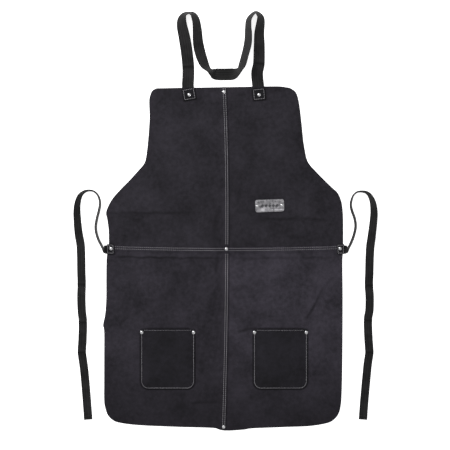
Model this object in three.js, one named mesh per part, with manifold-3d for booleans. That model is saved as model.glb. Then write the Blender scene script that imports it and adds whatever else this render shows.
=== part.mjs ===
// A welding apron of split leather, laid out flat and face up.
// Millimetres. X runs across the apron to the viewer's right, Y runs up towards the bib, and Z comes
// out of the front of the leather. The origin is the middle of the apron, on the surface it lies on.
import * as THREE from 'three';
import { mergeVertices } from 'three/addons/utils/BufferGeometryUtils.js';
import Module from 'manifold-3d';

const wasm = await Module();
wasm.setup();

// --- Driving dimensions ---------------------------------------------------------------------------

// Outline. Each width has a shift, because the hide was cut by hand and isn't quite even.
const APRON_LENGTH = 891;
const BIB_TOP_WIDTH = 386;
const BIB_TOP_SHIFT = -1;
const CHEST_WIDTH = 414;
const CHEST_SHIFT = 5;
const SHOULDER_WIDTH = 615;
const SHOULDER_SHIFT = 1;
const WAIST_WIDTH = 607;
const WAIST_SHIFT = 4;
const SKIRT_WIDTH = 620;
const SKIRT_SHIFT = -1.5;
const ARMHOLE_BELOW_TOP = 194;
const SHOULDER_BELOW_TOP = 298;
const WAIST_BELOW_TOP = 419;
const HEM_SAG = 9;
const TOP_CORNER = 20;
const ARMHOLE_CORNER = 26;
const SHOULDER_CORNER = 34;
const WAIST_CORNER = 60;
const HEM_CORNER = 52;

// Leather, seams and the air left between layers that lie on each other.
const LEATHER = 1.5;
const PATCH_LEATHER = 1.2;
const LAP = 12;
const STEP = 4;
const SEAM_X = 3;
const LAYER_GAP = 0.1;
const CUT_GAP = 0.3;

// The line below the side patches where the skirt folds up over the bib.
const FOLD_BELOW_WAIST = 17.5;
const FOLD_GAP = 0.5;

// Webbing.
const WEBBING = 1.4;
const NECK_WIDTH = 31;
const NECK_END_LENGTH = 30;
const NECK_START = 2;
const NECK_LEFT_X = -93.9;
const NECK_LEFT_ANGLE = 10;
const NECK_RIGHT_X = 88.9;
const NECK_RIGHT_ANGLE = 6;
const TIE_WIDTH = 22;
const TIE_START = 3.5;
const TIE_END_PROUD = 3;
const TIE_END_INSET = 2;
const TIE_BELOW_WAIST = 2.7;

// Patches over the webbing's ends.
const SHOULDER_PATCH_WIDTH = 32;
const SHOULDER_PATCH_HEIGHT = 30;
const SHOULDER_PATCH_BELOW_TOP = 3.5;
const SHOULDER_RIVET_BELOW_TOP = 20;
const SIDE_PATCH_WIDTH = 19;
const SIDE_PATCH_HEIGHT = 25.5;
const SIDE_PATCH_OVERHANG = 5;
const SIDE_PATCH_BELOW_WAIST = 1.5;
const SIDE_RIVET_INSET = 11;

// Pockets.
const POCKET_WIDTH = 141;
const POCKET_HEIGHT = 157;
const POCKET_OFFSET_X = 146.5;
const POCKET_BELOW_WAIST = 208.5;
const POCKET_CORNER = 16;
const POCKET_BORDER = 9;
const POCKET_RAMP = 15;
const POCKET_EASE = 5;
const POCKET_RIVET_INSET = 3.2;
const POCKET_RIVET_BELOW_MOUTH = 9.5;

// Name plate.
const PLATE_WIDTH = 75;
const PLATE_HEIGHT = 32;
const PLATE_THICKNESS = 0.8;
const PLATE_CORNER = 6;
const PLATE_RIM_WIDTH = 1.4;
const PLATE_RIM_HEIGHT = 0.5;
const PLATE_X = 118.6;
const PLATE_BELOW_TOP = 307.7;
const PLATE_ANGLE = 2.3;
const PLATE_RIVET_SPACING = 63.5;

// Rivets: a domed cap with its post, and a thin cap closed over the post's end at the back.
const RIVET_CAP = 9;
const RIVET_DOME = 1.4;
const RIVET_RIM = 0.3;
const RIVET_POST = 3;
const RIVET_BACK = 8;
const RIVET_BACK_THICKNESS = 0.5;
const PLATE_RIVET_CAP = 7.2;
const SEAM_TOP_RIVET_BELOW_TOP = 12;
const SEAM_TOP_RIVET_X = 0;
const SEAM_HEM_RIVET_ABOVE_HEM = 8.5;
const SEAM_HEM_RIVET_X = -1;
const WAIST_RIVET_X = 6;
const WAIST_RIVET_BELOW_WAIST = 1;

// --- Derived places -------------------------------------------------------------------------------

const TOP_Y = APRON_LENGTH / 2;
const HEM_Y = -APRON_LENGTH / 2;
const WAIST_Y = TOP_Y - WAIST_BELOW_TOP;
const FOLD_Y = WAIST_Y - FOLD_BELOW_WAIST;
const LAP_TOP = WAIST_Y + LAP / 2;
const LAP_LOW = WAIST_Y - LAP / 2;
const SEAM_LEFT = SEAM_X - LAP / 2;
const SEAM_RIGHT = SEAM_X + LAP / 2;
const FAR = APRON_LENGTH;
const LAYER = LEATHER + LAYER_GAP;
const NECK_BUMP = WEBBING + LAYER_GAP + LEATHER;
const POCKET_Y = WAIST_Y - POCKET_BELOW_WAIST - POCKET_HEIGHT / 2;
const waistEdge = (side) => WAIST_SHIFT + (side * WAIST_WIDTH) / 2;
const sidePatchOuter = (side) => waistEdge(side) + side * SIDE_PATCH_OVERHANG;
const radians = THREE.MathUtils.degToRad;

// --- Materials ------------------------------------------------------------------------------------

const finish = (color, roughness, metalness) =>
  new THREE.MeshStandardMaterial({ color, roughness, metalness });
const leatherFinish = () => finish(0x2f2d33, 0.92, 0);
const patchFinish = () => finish(0x262428, 0.88, 0);
const webbingFinish = () => finish(0x2a2a2b, 0.85, 0);
const plateFinish = () => finish(0x8f9094, 0.45, 1);
const rivetFinish = () => finish(0xe2e2e4, 0.25, 1);

// --- Solid tools ----------------------------------------------------------------------------------

function toSolid(geometry) {
  const bare = geometry.clone();
  bare.deleteAttribute('normal');
  bare.deleteAttribute('uv');
  const merged = mergeVertices(bare, 1e-4);
  return new wasm.Manifold(new wasm.Mesh({
    numProp: 3,
    vertProperties: new Float32Array(merged.attributes.position.array),
    triVerts: new Uint32Array(merged.index.array),
  }));
}

function toGeometry(solid) {
  const mesh = solid.getMesh();
  const geometry = new THREE.BufferGeometry();
  geometry.setAttribute('position', new THREE.BufferAttribute(new Float32Array(mesh.vertProperties), 3));
  geometry.setIndex(new THREE.BufferAttribute(new Uint32Array(mesh.triVerts), 1));
  geometry.computeVertexNormals();
  return geometry;
}

function boxGeometry(x0, x1, y0, y1, z0, z1) {
  const geometry = new THREE.BoxGeometry(x1 - x0, y1 - y0, z1 - z0);
  geometry.translate((x0 + x1) / 2, (y0 + y1) / 2, (z0 + z1) / 2);
  return geometry;
}

const box = (...corners) => toSolid(boxGeometry(...corners));

function cylinder(x, y, radius, z0, z1) {
  const geometry = new THREE.CylinderGeometry(radius, radius, z1 - z0, 20);
  geometry.rotateX(Math.PI / 2);
  geometry.translate(x, y, (z0 + z1) / 2);
  return toSolid(geometry);
}

function prism(shape, z0, z1) {
  const geometry = new THREE.ExtrudeGeometry(shape, { depth: z1 - z0, bevelEnabled: false, curveSegments: 10 });
  geometry.translate(0, 0, z0);
  return toSolid(geometry);
}

const join = (solids) => solids.reduce((whole, piece) => whole.add(piece));
const drill = (solid, holes) => holes.reduce((left, hole) => left.subtract(hole), solid);

function part(name, solid, material) {
  const mesh = new THREE.Mesh(toGeometry(solid), material);
  mesh.name = name;
  return mesh;
}

// A rivet's way through the leather: the post's hole, and the seat that the back cap pulls into.
function rivetWay(x, y) {
  const hole = cylinder(x, y, RIVET_POST / 2 + CUT_GAP, -1, 20);
  const seat = cylinder(x, y, RIVET_BACK / 2 + CUT_GAP, -1, RIVET_BACK_THICKNESS + LAYER_GAP);
  return hole.add(seat);
}

// --- Outline --------------------------------------------------------------------------------------

// One side's corners from the top edge down to the hem: x, y and how wide the rounding is.
function sideCorners(side) {
  const edge = (width, shift) => shift + (side * width) / 2;
  return [
    [edge(BIB_TOP_WIDTH, BIB_TOP_SHIFT), TOP_Y, TOP_CORNER],
    [edge(CHEST_WIDTH, CHEST_SHIFT), TOP_Y - ARMHOLE_BELOW_TOP, ARMHOLE_CORNER],
    [edge(SHOULDER_WIDTH, SHOULDER_SHIFT), TOP_Y - SHOULDER_BELOW_TOP, SHOULDER_CORNER],
    [waistEdge(side), WAIST_Y, WAIST_CORNER],
    [edge(SKIRT_WIDTH, SKIRT_SHIFT), WAIST_Y - 2 * WAIST_CORNER, WAIST_CORNER / 2],
    [edge(SKIRT_WIDTH, SKIRT_SHIFT), HEM_Y + HEM_SAG, HEM_CORNER],
  ];
}

function apronOutline() {
  const hemMiddle = [0, HEM_Y, POCKET_WIDTH];
  const corners = [...sideCorners(1), hemMiddle, ...sideCorners(-1).reverse()];
  const shape = new THREE.Shape();
  shape.moveTo(0, TOP_Y);
  corners.forEach(([x, y, radius], i) => {
    const [px, py] = i === 0 ? [0, TOP_Y] : corners[i - 1];
    const [nx, ny] = i === corners.length - 1 ? [0, TOP_Y] : corners[i + 1];
    const before = Math.min(radius, Math.hypot(px - x, py - y) / 2);
    const after = Math.min(radius, Math.hypot(nx - x, ny - y) / 2);
    const toward = (tx, ty, length) => {
      const share = length / Math.hypot(tx - x, ty - y);
      return [x + (tx - x) * share, y + (ty - y) * share];
    };
    shape.lineTo(...toward(px, py, before));
    shape.quadraticCurveTo(x, y, ...toward(nx, ny, after));
  });
  shape.closePath();
  return shape;
}

const outlineBlock = prism(apronOutline(), -1, 20);

// --- Rivet places ---------------------------------------------------------------------------------

// A point that lies so far down a neck strap's sewn end, which leans a little from the top edge.
function onNeckEnd(x, angle, down) {
  return [x + down * Math.sin(radians(angle)), TOP_Y - down * Math.cos(radians(angle))];
}

const neckEnds = {
  left: { x: NECK_LEFT_X, angle: NECK_LEFT_ANGLE },
  right: { x: NECK_RIGHT_X, angle: NECK_RIGHT_ANGLE },
};
const shoulderRivet = ({ x, angle }) => onNeckEnd(x, angle, SHOULDER_RIVET_BELOW_TOP);
const sideRivet = (side) => [sidePatchOuter(side) - side * SIDE_RIVET_INSET, WAIST_Y];
const pocketRivets = (side) => [-1, 1].map((edge) => [
  side * POCKET_OFFSET_X + edge * (POCKET_WIDTH / 2 - POCKET_RIVET_INSET),
  POCKET_Y + POCKET_HEIGHT / 2 - POCKET_RIVET_BELOW_MOUTH,
]);
const plateRivets = [-1, 1].map((edge) => [
  PLATE_X + (edge * PLATE_RIVET_SPACING * Math.cos(radians(PLATE_ANGLE))) / 2,
  TOP_Y - PLATE_BELOW_TOP + (edge * PLATE_RIVET_SPACING * Math.sin(radians(PLATE_ANGLE))) / 2,
]);
const seamTopRivet = [SEAM_TOP_RIVET_X, TOP_Y - SEAM_TOP_RIVET_BELOW_TOP];
const seamHemRivet = [SEAM_HEM_RIVET_X, HEM_Y + SEAM_HEM_RIVET_ABOVE_HEM];
const waistRivet = [WAIST_RIVET_X, WAIST_Y - WAIST_RIVET_BELOW_WAIST];

// --- Leather panels -------------------------------------------------------------------------------

// The left leather steps up over the right along the centre seam.
function leftHalf(y0, y1, lapY0) {
  return join([
    box(-FAR, SEAM_LEFT - CUT_GAP, y0, y1, 0, LEATHER),
    box(SEAM_LEFT - STEP, SEAM_LEFT - CUT_GAP, lapY0, y1, 0, LAYER + LEATHER),
    box(SEAM_LEFT - STEP, SEAM_RIGHT, lapY0, y1, LAYER, LAYER + LEATHER),
  ]);
}

const rightHalf = (y0, y1) => box(SEAM_LEFT, FAR, y0, y1, 0, LEATHER);

// A block along a neck strap's sewn end, down from the top edge.
function neckEndBlock({ x, angle }, width, length, z0, z1, above) {
  const geometry = boxGeometry(-width / 2, width / 2, -length, above, z0, z1);
  geometry.rotateZ(radians(angle));
  geometry.translate(x, TOP_Y, 0);
  return toSolid(geometry);
}

// The bib rises over the strap's end, which lies behind it.
function overNeckEnd(panel, end) {
  const wall = CUT_GAP + LEATHER;
  const above = NECK_END_LENGTH;
  const bump = neckEndBlock(end, NECK_WIDTH + 2 * wall, NECK_END_LENGTH + wall, 0, NECK_BUMP, above);
  const seat = neckEndBlock(
    end, NECK_WIDTH + 2 * CUT_GAP, NECK_END_LENGTH + CUT_GAP, -1, WEBBING + LAYER_GAP, above);
  return panel.add(bump.intersect(outlineBlock)).subtract(seat);
}

function bibPanelLeft() {
  const flat = leftHalf(LAP_LOW, FAR, LAP_TOP + CUT_GAP).intersect(outlineBlock);
  const holes = [shoulderRivet(neckEnds.left), seamTopRivet, sideRivet(-1)];
  const panel = drill(overNeckEnd(flat, neckEnds.left), holes.map((at) => rivetWay(...at)));
  return part('bib_panel_left', panel, leatherFinish());
}

function bibPanelRight() {
  const flat = rightHalf(LAP_LOW, FAR).intersect(outlineBlock);
  const holes = [shoulderRivet(neckEnds.right), seamTopRivet, waistRivet, sideRivet(1), ...plateRivets];
  const panel = drill(overNeckEnd(flat, neckEnds.right), holes.map((at) => rivetWay(...at)));
  return part('bib_panel_right', panel, leatherFinish());
}

function skirtPanelLeft() {
  const flat = leftHalf(-FAR, FOLD_Y - FOLD_GAP, -FAR).intersect(outlineBlock);
  const holes = [seamHemRivet, ...pocketRivets(-1)];
  return part('skirt_panel_left', drill(flat, holes.map((at) => rivetWay(...at))), leatherFinish());
}

function skirtPanelRight() {
  const flat = rightHalf(-FAR, FOLD_Y - FOLD_GAP).intersect(outlineBlock);
  const holes = [seamHemRivet, ...pocketRivets(1)];
  return part('skirt_panel_right', drill(flat, holes.map((at) => rivetWay(...at))), leatherFinish());
}

// The top of the skirt leather, which steps up and is sewn over the bib's lower edge.
function waistLapRight() {
  const band = join([
    box(SEAM_LEFT, FAR, FOLD_Y, LAP_LOW - CUT_GAP, 0, LEATHER),
    box(SEAM_LEFT, FAR, LAP_LOW - STEP, LAP_LOW - CUT_GAP, 0, LAYER + LEATHER),
    box(SEAM_LEFT, FAR, LAP_LOW - STEP, LAP_TOP, LAYER, LAYER + LEATHER),
  ]).intersect(outlineBlock);
  const holes = [waistRivet, sideRivet(1)];
  return part('waist_lap_right', drill(band, holes.map((at) => rivetWay(...at))), leatherFinish());
}

function waistLapLeft() {
  const edge = SEAM_LEFT - CUT_GAP;
  const low = LAP_LOW - STEP - CUT_GAP;
  const high = LAYER + LEATHER;
  const band = join([
    box(-FAR, edge, FOLD_Y, LAP_LOW - CUT_GAP, 0, LEATHER),
    box(-FAR, edge, LAP_LOW - STEP, LAP_LOW - CUT_GAP, 0, high),
    box(-FAR, edge, LAP_LOW - STEP, LAP_TOP, LAYER, high),
    box(SEAM_LEFT - STEP, edge, FOLD_Y, low, 0, high),
    box(SEAM_LEFT - STEP, SEAM_RIGHT, FOLD_Y, low, LAYER, high),
    box(SEAM_LEFT - STEP, SEAM_RIGHT, low - STEP / 2, low, LAYER, LAYER + high),
    box(SEAM_LEFT - STEP, edge, low - STEP / 2, LAP_TOP, LAYER, LAYER + high),
    box(SEAM_LEFT - STEP, SEAM_RIGHT, low - STEP / 2, LAP_TOP, 2 * LAYER, LAYER + high),
  ]).intersect(outlineBlock);
  const holes = [waistRivet, sideRivet(-1)];
  return part('waist_lap_left', drill(band, holes.map((at) => rivetWay(...at))), leatherFinish());
}

// --- Pockets --------------------------------------------------------------------------------------

// A patch pocket: flat where it is sewn down, raised inside so that a hand finds the mouth.
function pocket(name, side) {
  const ramp = POCKET_BORDER + POCKET_RAMP;
  const columns = [0, POCKET_BORDER, ramp, POCKET_WIDTH / 2, POCKET_WIDTH - ramp,
    POCKET_WIDTH - POCKET_BORDER, POCKET_WIDTH];
  const rows = [0, POCKET_BORDER, ramp, POCKET_HEIGHT / 2, POCKET_HEIGHT];
  const across = columns.length - 1;
  const along = rows.length - 1;
  const geometry = new THREE.BoxGeometry(1, 1, 1, across, along, 1);
  const points = geometry.attributes.position;
  for (let i = 0; i < points.count; i += 1) {
    const column = Math.round((points.getX(i) + 0.5) * across);
    const row = Math.round((points.getY(i) + 0.5) * along);
    const sewn = column < 2 || column > across - 2 || row < 2;
    const under = sewn ? 0 : POCKET_EASE;
    const face = points.getZ(i) > 0 ? PATCH_LEATHER : 0;
    points.setXYZ(i, columns[column] - POCKET_WIDTH / 2, rows[row] - POCKET_HEIGHT / 2, under + face);
  }
  const w = POCKET_WIDTH / 2;
  const h = POCKET_HEIGHT / 2;
  const cut = new THREE.Shape();
  cut.moveTo(-w, h);
  cut.lineTo(-w, -h + POCKET_CORNER);
  cut.quadraticCurveTo(-w, -h, -w + POCKET_CORNER, -h);
  cut.lineTo(w - POCKET_CORNER, -h);
  cut.quadraticCurveTo(w, -h, w, -h + POCKET_CORNER);
  cut.lineTo(w, h);
  cut.closePath();
  const x = side * POCKET_OFFSET_X;
  const holes = pocketRivets(side).map(([rx, ry]) =>
    cylinder(rx - x, ry - POCKET_Y, RIVET_POST / 2 + CUT_GAP, -1, 20));
  const mesh = part(name, drill(toSolid(geometry).intersect(prism(cut, -1, 20)), holes), patchFinish());
  mesh.position.set(x, POCKET_Y, LAYER);
  return mesh;
}

// --- Webbing --------------------------------------------------------------------------------------

// A strap along a hand-chosen route of [x, y, lean] points. It lies flat where the lean is 0 and
// stands on its edge where it is 90, with the edge on its left raised, or its right where negative.
function webbing(name, route, width, rise) {
  const last = route.length - 1;
  const line = new THREE.CatmullRomCurve3(route.map(([x, y]) => new THREE.Vector3(x, y, 0)));
  const geometry = new THREE.BoxGeometry(1, 1, 1, 2 * last, 1, 1);
  const points = geometry.attributes.position;
  const up = new THREE.Vector3(0, 0, 1);
  for (let i = 0; i < points.count; i += 1) {
    const spot = Math.min((points.getX(i) + 0.5) * last, last - 1e-6);
    const from = Math.floor(spot);
    const share = spot - from;
    const lean = radians(THREE.MathUtils.lerp(route[from][2], route[from + 1][2], share));
    const lift = THREE.MathUtils.lerp(rise[from] ?? 0, rise[from + 1] ?? 0, share);
    const middle = (Math.abs(Math.sin(lean)) * width + Math.cos(lean) * WEBBING) / 2 + lift;
    const along = line.getTangent(spot / last);
    const flat = new THREE.Vector3().crossVectors(up, along);
    const across = flat.multiplyScalar(Math.cos(lean)).addScaledVector(up, Math.sin(lean));
    const face = new THREE.Vector3().crossVectors(along, across);
    const at = line.getPoint(spot / last).setZ(middle);
    at.addScaledVector(across, points.getY(i) * width).addScaledVector(face, points.getZ(i) * WEBBING);
    points.setXYZ(i, at.x, at.y, at.z);
  }
  return part(name, toSolid(geometry), webbingFinish());
}

// The neck strap's loop, from the left of the bib's top edge round to the right.
const NECK_ROUTE = [
  [-93.9, 448, 0], [-93, 474, 0], [-93.2, 500, 0], [-96, 530, 0], [-99.5, 555, -4], [-104, 580, -16],
  [-109, 603, -28], [-109.5, 620, -40], [-103.5, 632.5, -58], [-91.5, 637, -69], [-80.5, 634, -60],
  [-74.6, 624.5, -52], [-71, 610, -48], [-69, 589, -40], [-68, 569, -34], [-65, 548, -26],
  [-60.5, 530, -26], [-55, 514, -32], [-48.5, 500.5, -44], [-38.5, 489, -62], [-29, 483, -38],
  [-19, 480, -6], [12, 479.8, 0], [24, 481, -12], [33, 485, -42], [41.5, 492, -60],
  [47.5, 504, -52], [54, 527, -52], [61, 555, -50], [63, 579, -54], [62.5, 600, -60],
  [65, 622, -64], [80, 638.5, -70], [90.5, 633, -60], [95.5, 620.5, -50], [91.5, 586, -34],
  [91.5, 552, -22], [90.5, 508, -12], [86, 482, 0], [88.9, 448, 0],
];

// The left tie, from its patch up on edge, over and down flat beside the skirt. The right tie mirrors
// its manner, with its own bends.
const LEFT_TIE_ROUTE = [
  [-308, 23.8, -12], [-310.2, 23.8, -42], [-313.5, 27, -66], [-319, 37, -68], [-326, 51, -68],
  [-331.5, 69.5, -68], [-332.5, 86, -68], [-329, 106, -68], [-324.5, 124, -68], [-321.5, 141, -70],
  [-323, 155.5, -72], [-329, 168, -76], [-339, 175.5, -80], [-352.5, 177, -80], [-365, 172, -74],
  [-374.5, 161, -62], [-380, 142, -50], [-381.5, 121, -40], [-380.5, 100, -34], [-379, 80, -28],
  [-376.5, 59, -18], [-373, 38, -6], [-371.5, 7, 0], [-371, -35, 0], [-370, -66, 0], [-371, -97, 0],
  [-370, -133, 0], [-367, -165, 0], [-368, -211, 0], [-369.5, -243, 0], [-365.5, -274, 0],
  [-362.5, -300, 0], [-358.5, -346, 0], [-353, -418, 0],
];
const RIGHT_TIE_ROUTE = [
  [316, 23.8, 12], [318.2, 23.8, 42], [321.5, 27, 66], [327.5, 38, 68], [334.5, 55, 68], [339, 71, 68],
  [341, 87, 68], [338, 106, 68], [331.5, 124, 68], [328.5, 138, 70], [330, 151, 72],
  [335, 164, 76], [344, 172.5, 80], [356, 174.5, 80], [369, 172, 76], [378.5, 163, 66],
  [386, 145, 52], [389, 120, 38], [387.5, 95, 32], [385, 72, 26], [382.5, 50, 14], [380, 30, 4],
  [378.5, 0, 0], [377.5, -40, 0], [376.5, -69, 0], [378.5, -97, 0], [378, -133, 0], [374, -160, 0],
  [375.5, -208, 0], [377.5, -243, 0], [373.5, -274, 0], [370.5, -304, 0], [364.5, -370, 0],
  [361, -418, 0],
];

// How far the tie's first points are still held up by the layers that it is sewn to.
const TIE_RISE = [2 * LAYER, 1.5 * LAYER, 0.6 * LAYER];

// A tie's route, moved as a whole to start just outside its side patch.
function tieRoute(route, side) {
  const dx = sidePatchOuter(side) + side * TIE_START - route[0][0];
  const dy = WAIST_Y - TIE_BELOW_WAIST - route[0][1];
  return route.map(([x, y, lean]) => [x + dx, y + dy, lean]);
}

function neckStrap() {
  const route = NECK_ROUTE.map(([x, y, lean]) => [x, y + TOP_Y + NECK_START - NECK_ROUTE[0][1], lean]);
  return webbing('neck_strap', route, NECK_WIDTH, []);
}

// The strap's end that is sewn behind the bib.
function neckStrapEnd(name, end) {
  const [rivetX, rivetY] = shoulderRivet(end);
  const belowEdge = -(NECK_WIDTH / 2) * Math.tan(radians(end.angle));
  const strip = neckEndBlock(end, NECK_WIDTH, NECK_END_LENGTH, 0, WEBBING, belowEdge);
  return part(name, drill(strip, [rivetWay(rivetX, rivetY)]), webbingFinish());
}

// The tie's end that is sewn between the waist and its patch.
function tieEnd(name, side) {
  const outer = sidePatchOuter(side) + side * TIE_END_PROUD;
  const inner = outer - side * (SIDE_PATCH_WIDTH + TIE_END_PROUD - TIE_END_INSET);
  const [x0, x1] = [Math.min(outer, inner), Math.max(outer, inner)];
  const y0 = WAIST_Y - SIDE_PATCH_BELOW_WAIST - TIE_WIDTH / 2;
  const y1 = y0 + TIE_WIDTH;
  const strip = box(x0, x1, y0, y1, 2 * LAYER, 2 * LAYER + WEBBING);
  return part(name, drill(strip, [rivetWay(...sideRivet(side))]), webbingFinish());
}

// --- Patches and plate ----------------------------------------------------------------------------

function shoulderPatch(name, { x, angle }) {
  const top = -SHOULDER_PATCH_BELOW_TOP;
  const leather = box(-SHOULDER_PATCH_WIDTH / 2, SHOULDER_PATCH_WIDTH / 2,
    top - SHOULDER_PATCH_HEIGHT, top, 0, PATCH_LEATHER);
  const hole = cylinder(0, -SHOULDER_RIVET_BELOW_TOP, RIVET_POST / 2 + CUT_GAP, -1, 20);
  const mesh = part(name, leather.subtract(hole), patchFinish());
  mesh.position.set(x, TOP_Y, NECK_BUMP + LAYER_GAP);
  mesh.rotation.z = radians(angle);
  return mesh;
}

function sidePatch(name, side) {
  const outer = sidePatchOuter(side);
  const [rivetX, rivetY] = sideRivet(side);
  const x = outer - (side * SIDE_PATCH_WIDTH) / 2;
  const y = WAIST_Y - SIDE_PATCH_BELOW_WAIST;
  const leather = box(-SIDE_PATCH_WIDTH / 2, SIDE_PATCH_WIDTH / 2,
    -SIDE_PATCH_HEIGHT / 2, SIDE_PATCH_HEIGHT / 2, 0, PATCH_LEATHER);
  const hole = cylinder(rivetX - x, rivetY - y, RIVET_POST / 2 + CUT_GAP, -1, 20);
  const mesh = part(name, leather.subtract(hole), patchFinish());
  mesh.position.set(x, y, 2 * LAYER + WEBBING + LAYER_GAP);
  return mesh;
}

function roundedRectangle(width, height, corner) {
  const [w, h] = [width / 2, height / 2];
  const shape = new THREE.Shape();
  shape.moveTo(-w + corner, -h);
  shape.lineTo(w - corner, -h);
  shape.absarc(w - corner, -h + corner, corner, -Math.PI / 2, 0);
  shape.absarc(w - corner, h - corner, corner, 0, Math.PI / 2);
  shape.absarc(-w + corner, h - corner, corner, Math.PI / 2, Math.PI);
  shape.absarc(-w + corner, -h + corner, corner, Math.PI, 1.5 * Math.PI);
  shape.closePath();
  return shape;
}

function namePlate() {
  const full = PLATE_THICKNESS + PLATE_RIM_HEIGHT;
  const inset = 2 * PLATE_RIM_WIDTH;
  const blank = prism(roundedRectangle(PLATE_WIDTH, PLATE_HEIGHT, PLATE_CORNER), 0, full);
  const inner = roundedRectangle(PLATE_WIDTH - inset, PLATE_HEIGHT - inset, PLATE_CORNER - PLATE_RIM_WIDTH);
  const field = prism(inner, PLATE_THICKNESS, full + 1);
  const holes = [-1, 1].map((edge) =>
    cylinder((edge * PLATE_RIVET_SPACING) / 2, 0, RIVET_POST / 2 + CUT_GAP, -1, 20));
  const mesh = part('name_plate', drill(blank.subtract(field), holes), plateFinish());
  mesh.position.set(PLATE_X, TOP_Y - PLATE_BELOW_TOP, LAYER);
  mesh.rotation.z = radians(PLATE_ANGLE);
  return mesh;
}

// --- Rivets ---------------------------------------------------------------------------------------

// A domed cap whose post goes back through a stack of the given height, and the cap behind it.
function rivet(name, [x, y], stack, cap) {
  const low = RIVET_BACK_THICKNESS + LAYER_GAP;
  const seat = stack + LAYER_GAP;
  const profile = [[0, low], [RIVET_POST / 2, low], [RIVET_POST / 2, seat], [cap / 2, seat]];
  const dome = 5;
  for (let i = 0; i < dome; i += 1) {
    const angle = ((i / dome) * Math.PI) / 2;
    profile.push([(cap / 2) * Math.cos(angle), seat + RIVET_RIM + RIVET_DOME * Math.sin(angle)]);
  }
  profile.push([0, seat + RIVET_RIM + RIVET_DOME]);
  const lathe = new THREE.LatheGeometry(profile.map(([r, z]) => new THREE.Vector2(r, z)), 18);
  lathe.rotateX(Math.PI / 2);
  const front = new THREE.Mesh(lathe, rivetFinish());
  front.name = name;
  front.position.set(x, y, 0);
  const disc = new THREE.CylinderGeometry(RIVET_BACK / 2, RIVET_BACK / 2, RIVET_BACK_THICKNESS, 18);
  disc.rotateX(Math.PI / 2);
  const back = new THREE.Mesh(disc, rivetFinish());
  back.name = `${name}_back`;
  back.position.set(x, y, RIVET_BACK_THICKNESS / 2);
  return [front, back];
}

const TWO_LAYERS = LAYER + LEATHER;
const sideStack = 2 * LAYER + WEBBING + LAYER_GAP + PATCH_LEATHER;
const plateStack = LAYER + PLATE_THICKNESS;
const pocketStack = LAYER + PATCH_LEATHER;
const shoulderStack = NECK_BUMP + LAYER_GAP + PATCH_LEATHER;

const bibRivets = [
  ...rivet('rivet_shoulder_left', shoulderRivet(neckEnds.left), shoulderStack, RIVET_CAP),
  ...rivet('rivet_shoulder_right', shoulderRivet(neckEnds.right), shoulderStack, RIVET_CAP),
  ...rivet('rivet_seam_top', seamTopRivet, TWO_LAYERS, RIVET_CAP),
  ...rivet('rivet_waist_middle', waistRivet, 2 * LAYER + LEATHER, RIVET_CAP),
  ...rivet('rivet_side_left', sideRivet(-1), sideStack, RIVET_CAP),
  ...rivet('rivet_side_right', sideRivet(1), sideStack, RIVET_CAP),
  ...rivet('rivet_plate_left', plateRivets[0], plateStack, PLATE_RIVET_CAP),
  ...rivet('rivet_plate_right', plateRivets[1], plateStack, PLATE_RIVET_CAP),
];
const skirtRivets = [
  ...rivet('rivet_seam_hem', seamHemRivet, TWO_LAYERS, RIVET_CAP),
  ...rivet('rivet_left_pocket_outer', pocketRivets(-1)[0], pocketStack, RIVET_CAP),
  ...rivet('rivet_left_pocket_inner', pocketRivets(-1)[1], pocketStack, RIVET_CAP),
  ...rivet('rivet_right_pocket_inner', pocketRivets(1)[0], pocketStack, RIVET_CAP),
  ...rivet('rivet_right_pocket_outer', pocketRivets(1)[1], pocketStack, RIVET_CAP),
];

// --- Assembly -------------------------------------------------------------------------------------

const bib = new THREE.Group();
bib.add(
  bibPanelLeft(), bibPanelRight(), waistLapLeft(), waistLapRight(),
  neckStrapEnd('neck_strap_end_left', neckEnds.left),
  neckStrapEnd('neck_strap_end_right', neckEnds.right),
  tieEnd('left_tie_end', -1), tieEnd('right_tie_end', 1),
  shoulderPatch('shoulder_patch_left', neckEnds.left),
  shoulderPatch('shoulder_patch_right', neckEnds.right),
  sidePatch('side_patch_left', -1), sidePatch('side_patch_right', 1),
  namePlate(), ...bibRivets,
);

const skirt = new THREE.Group();
skirt.add(skirtPanelLeft(), skirtPanelRight(), pocket('pocket_left', -1), pocket('pocket_right', 1));
skirt.add(...skirtRivets);

const straps = new THREE.Group();
straps.add(
  neckStrap(),
  webbing('left_tie', tieRoute(LEFT_TIE_ROUTE, -1), TIE_WIDTH, TIE_RISE),
  webbing('right_tie', tieRoute(RIGHT_TIE_ROUTE, 1), TIE_WIDTH, TIE_RISE),
);

const apron = new THREE.Group();
apron.add(bib, skirt, straps);

export default apron;
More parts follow.
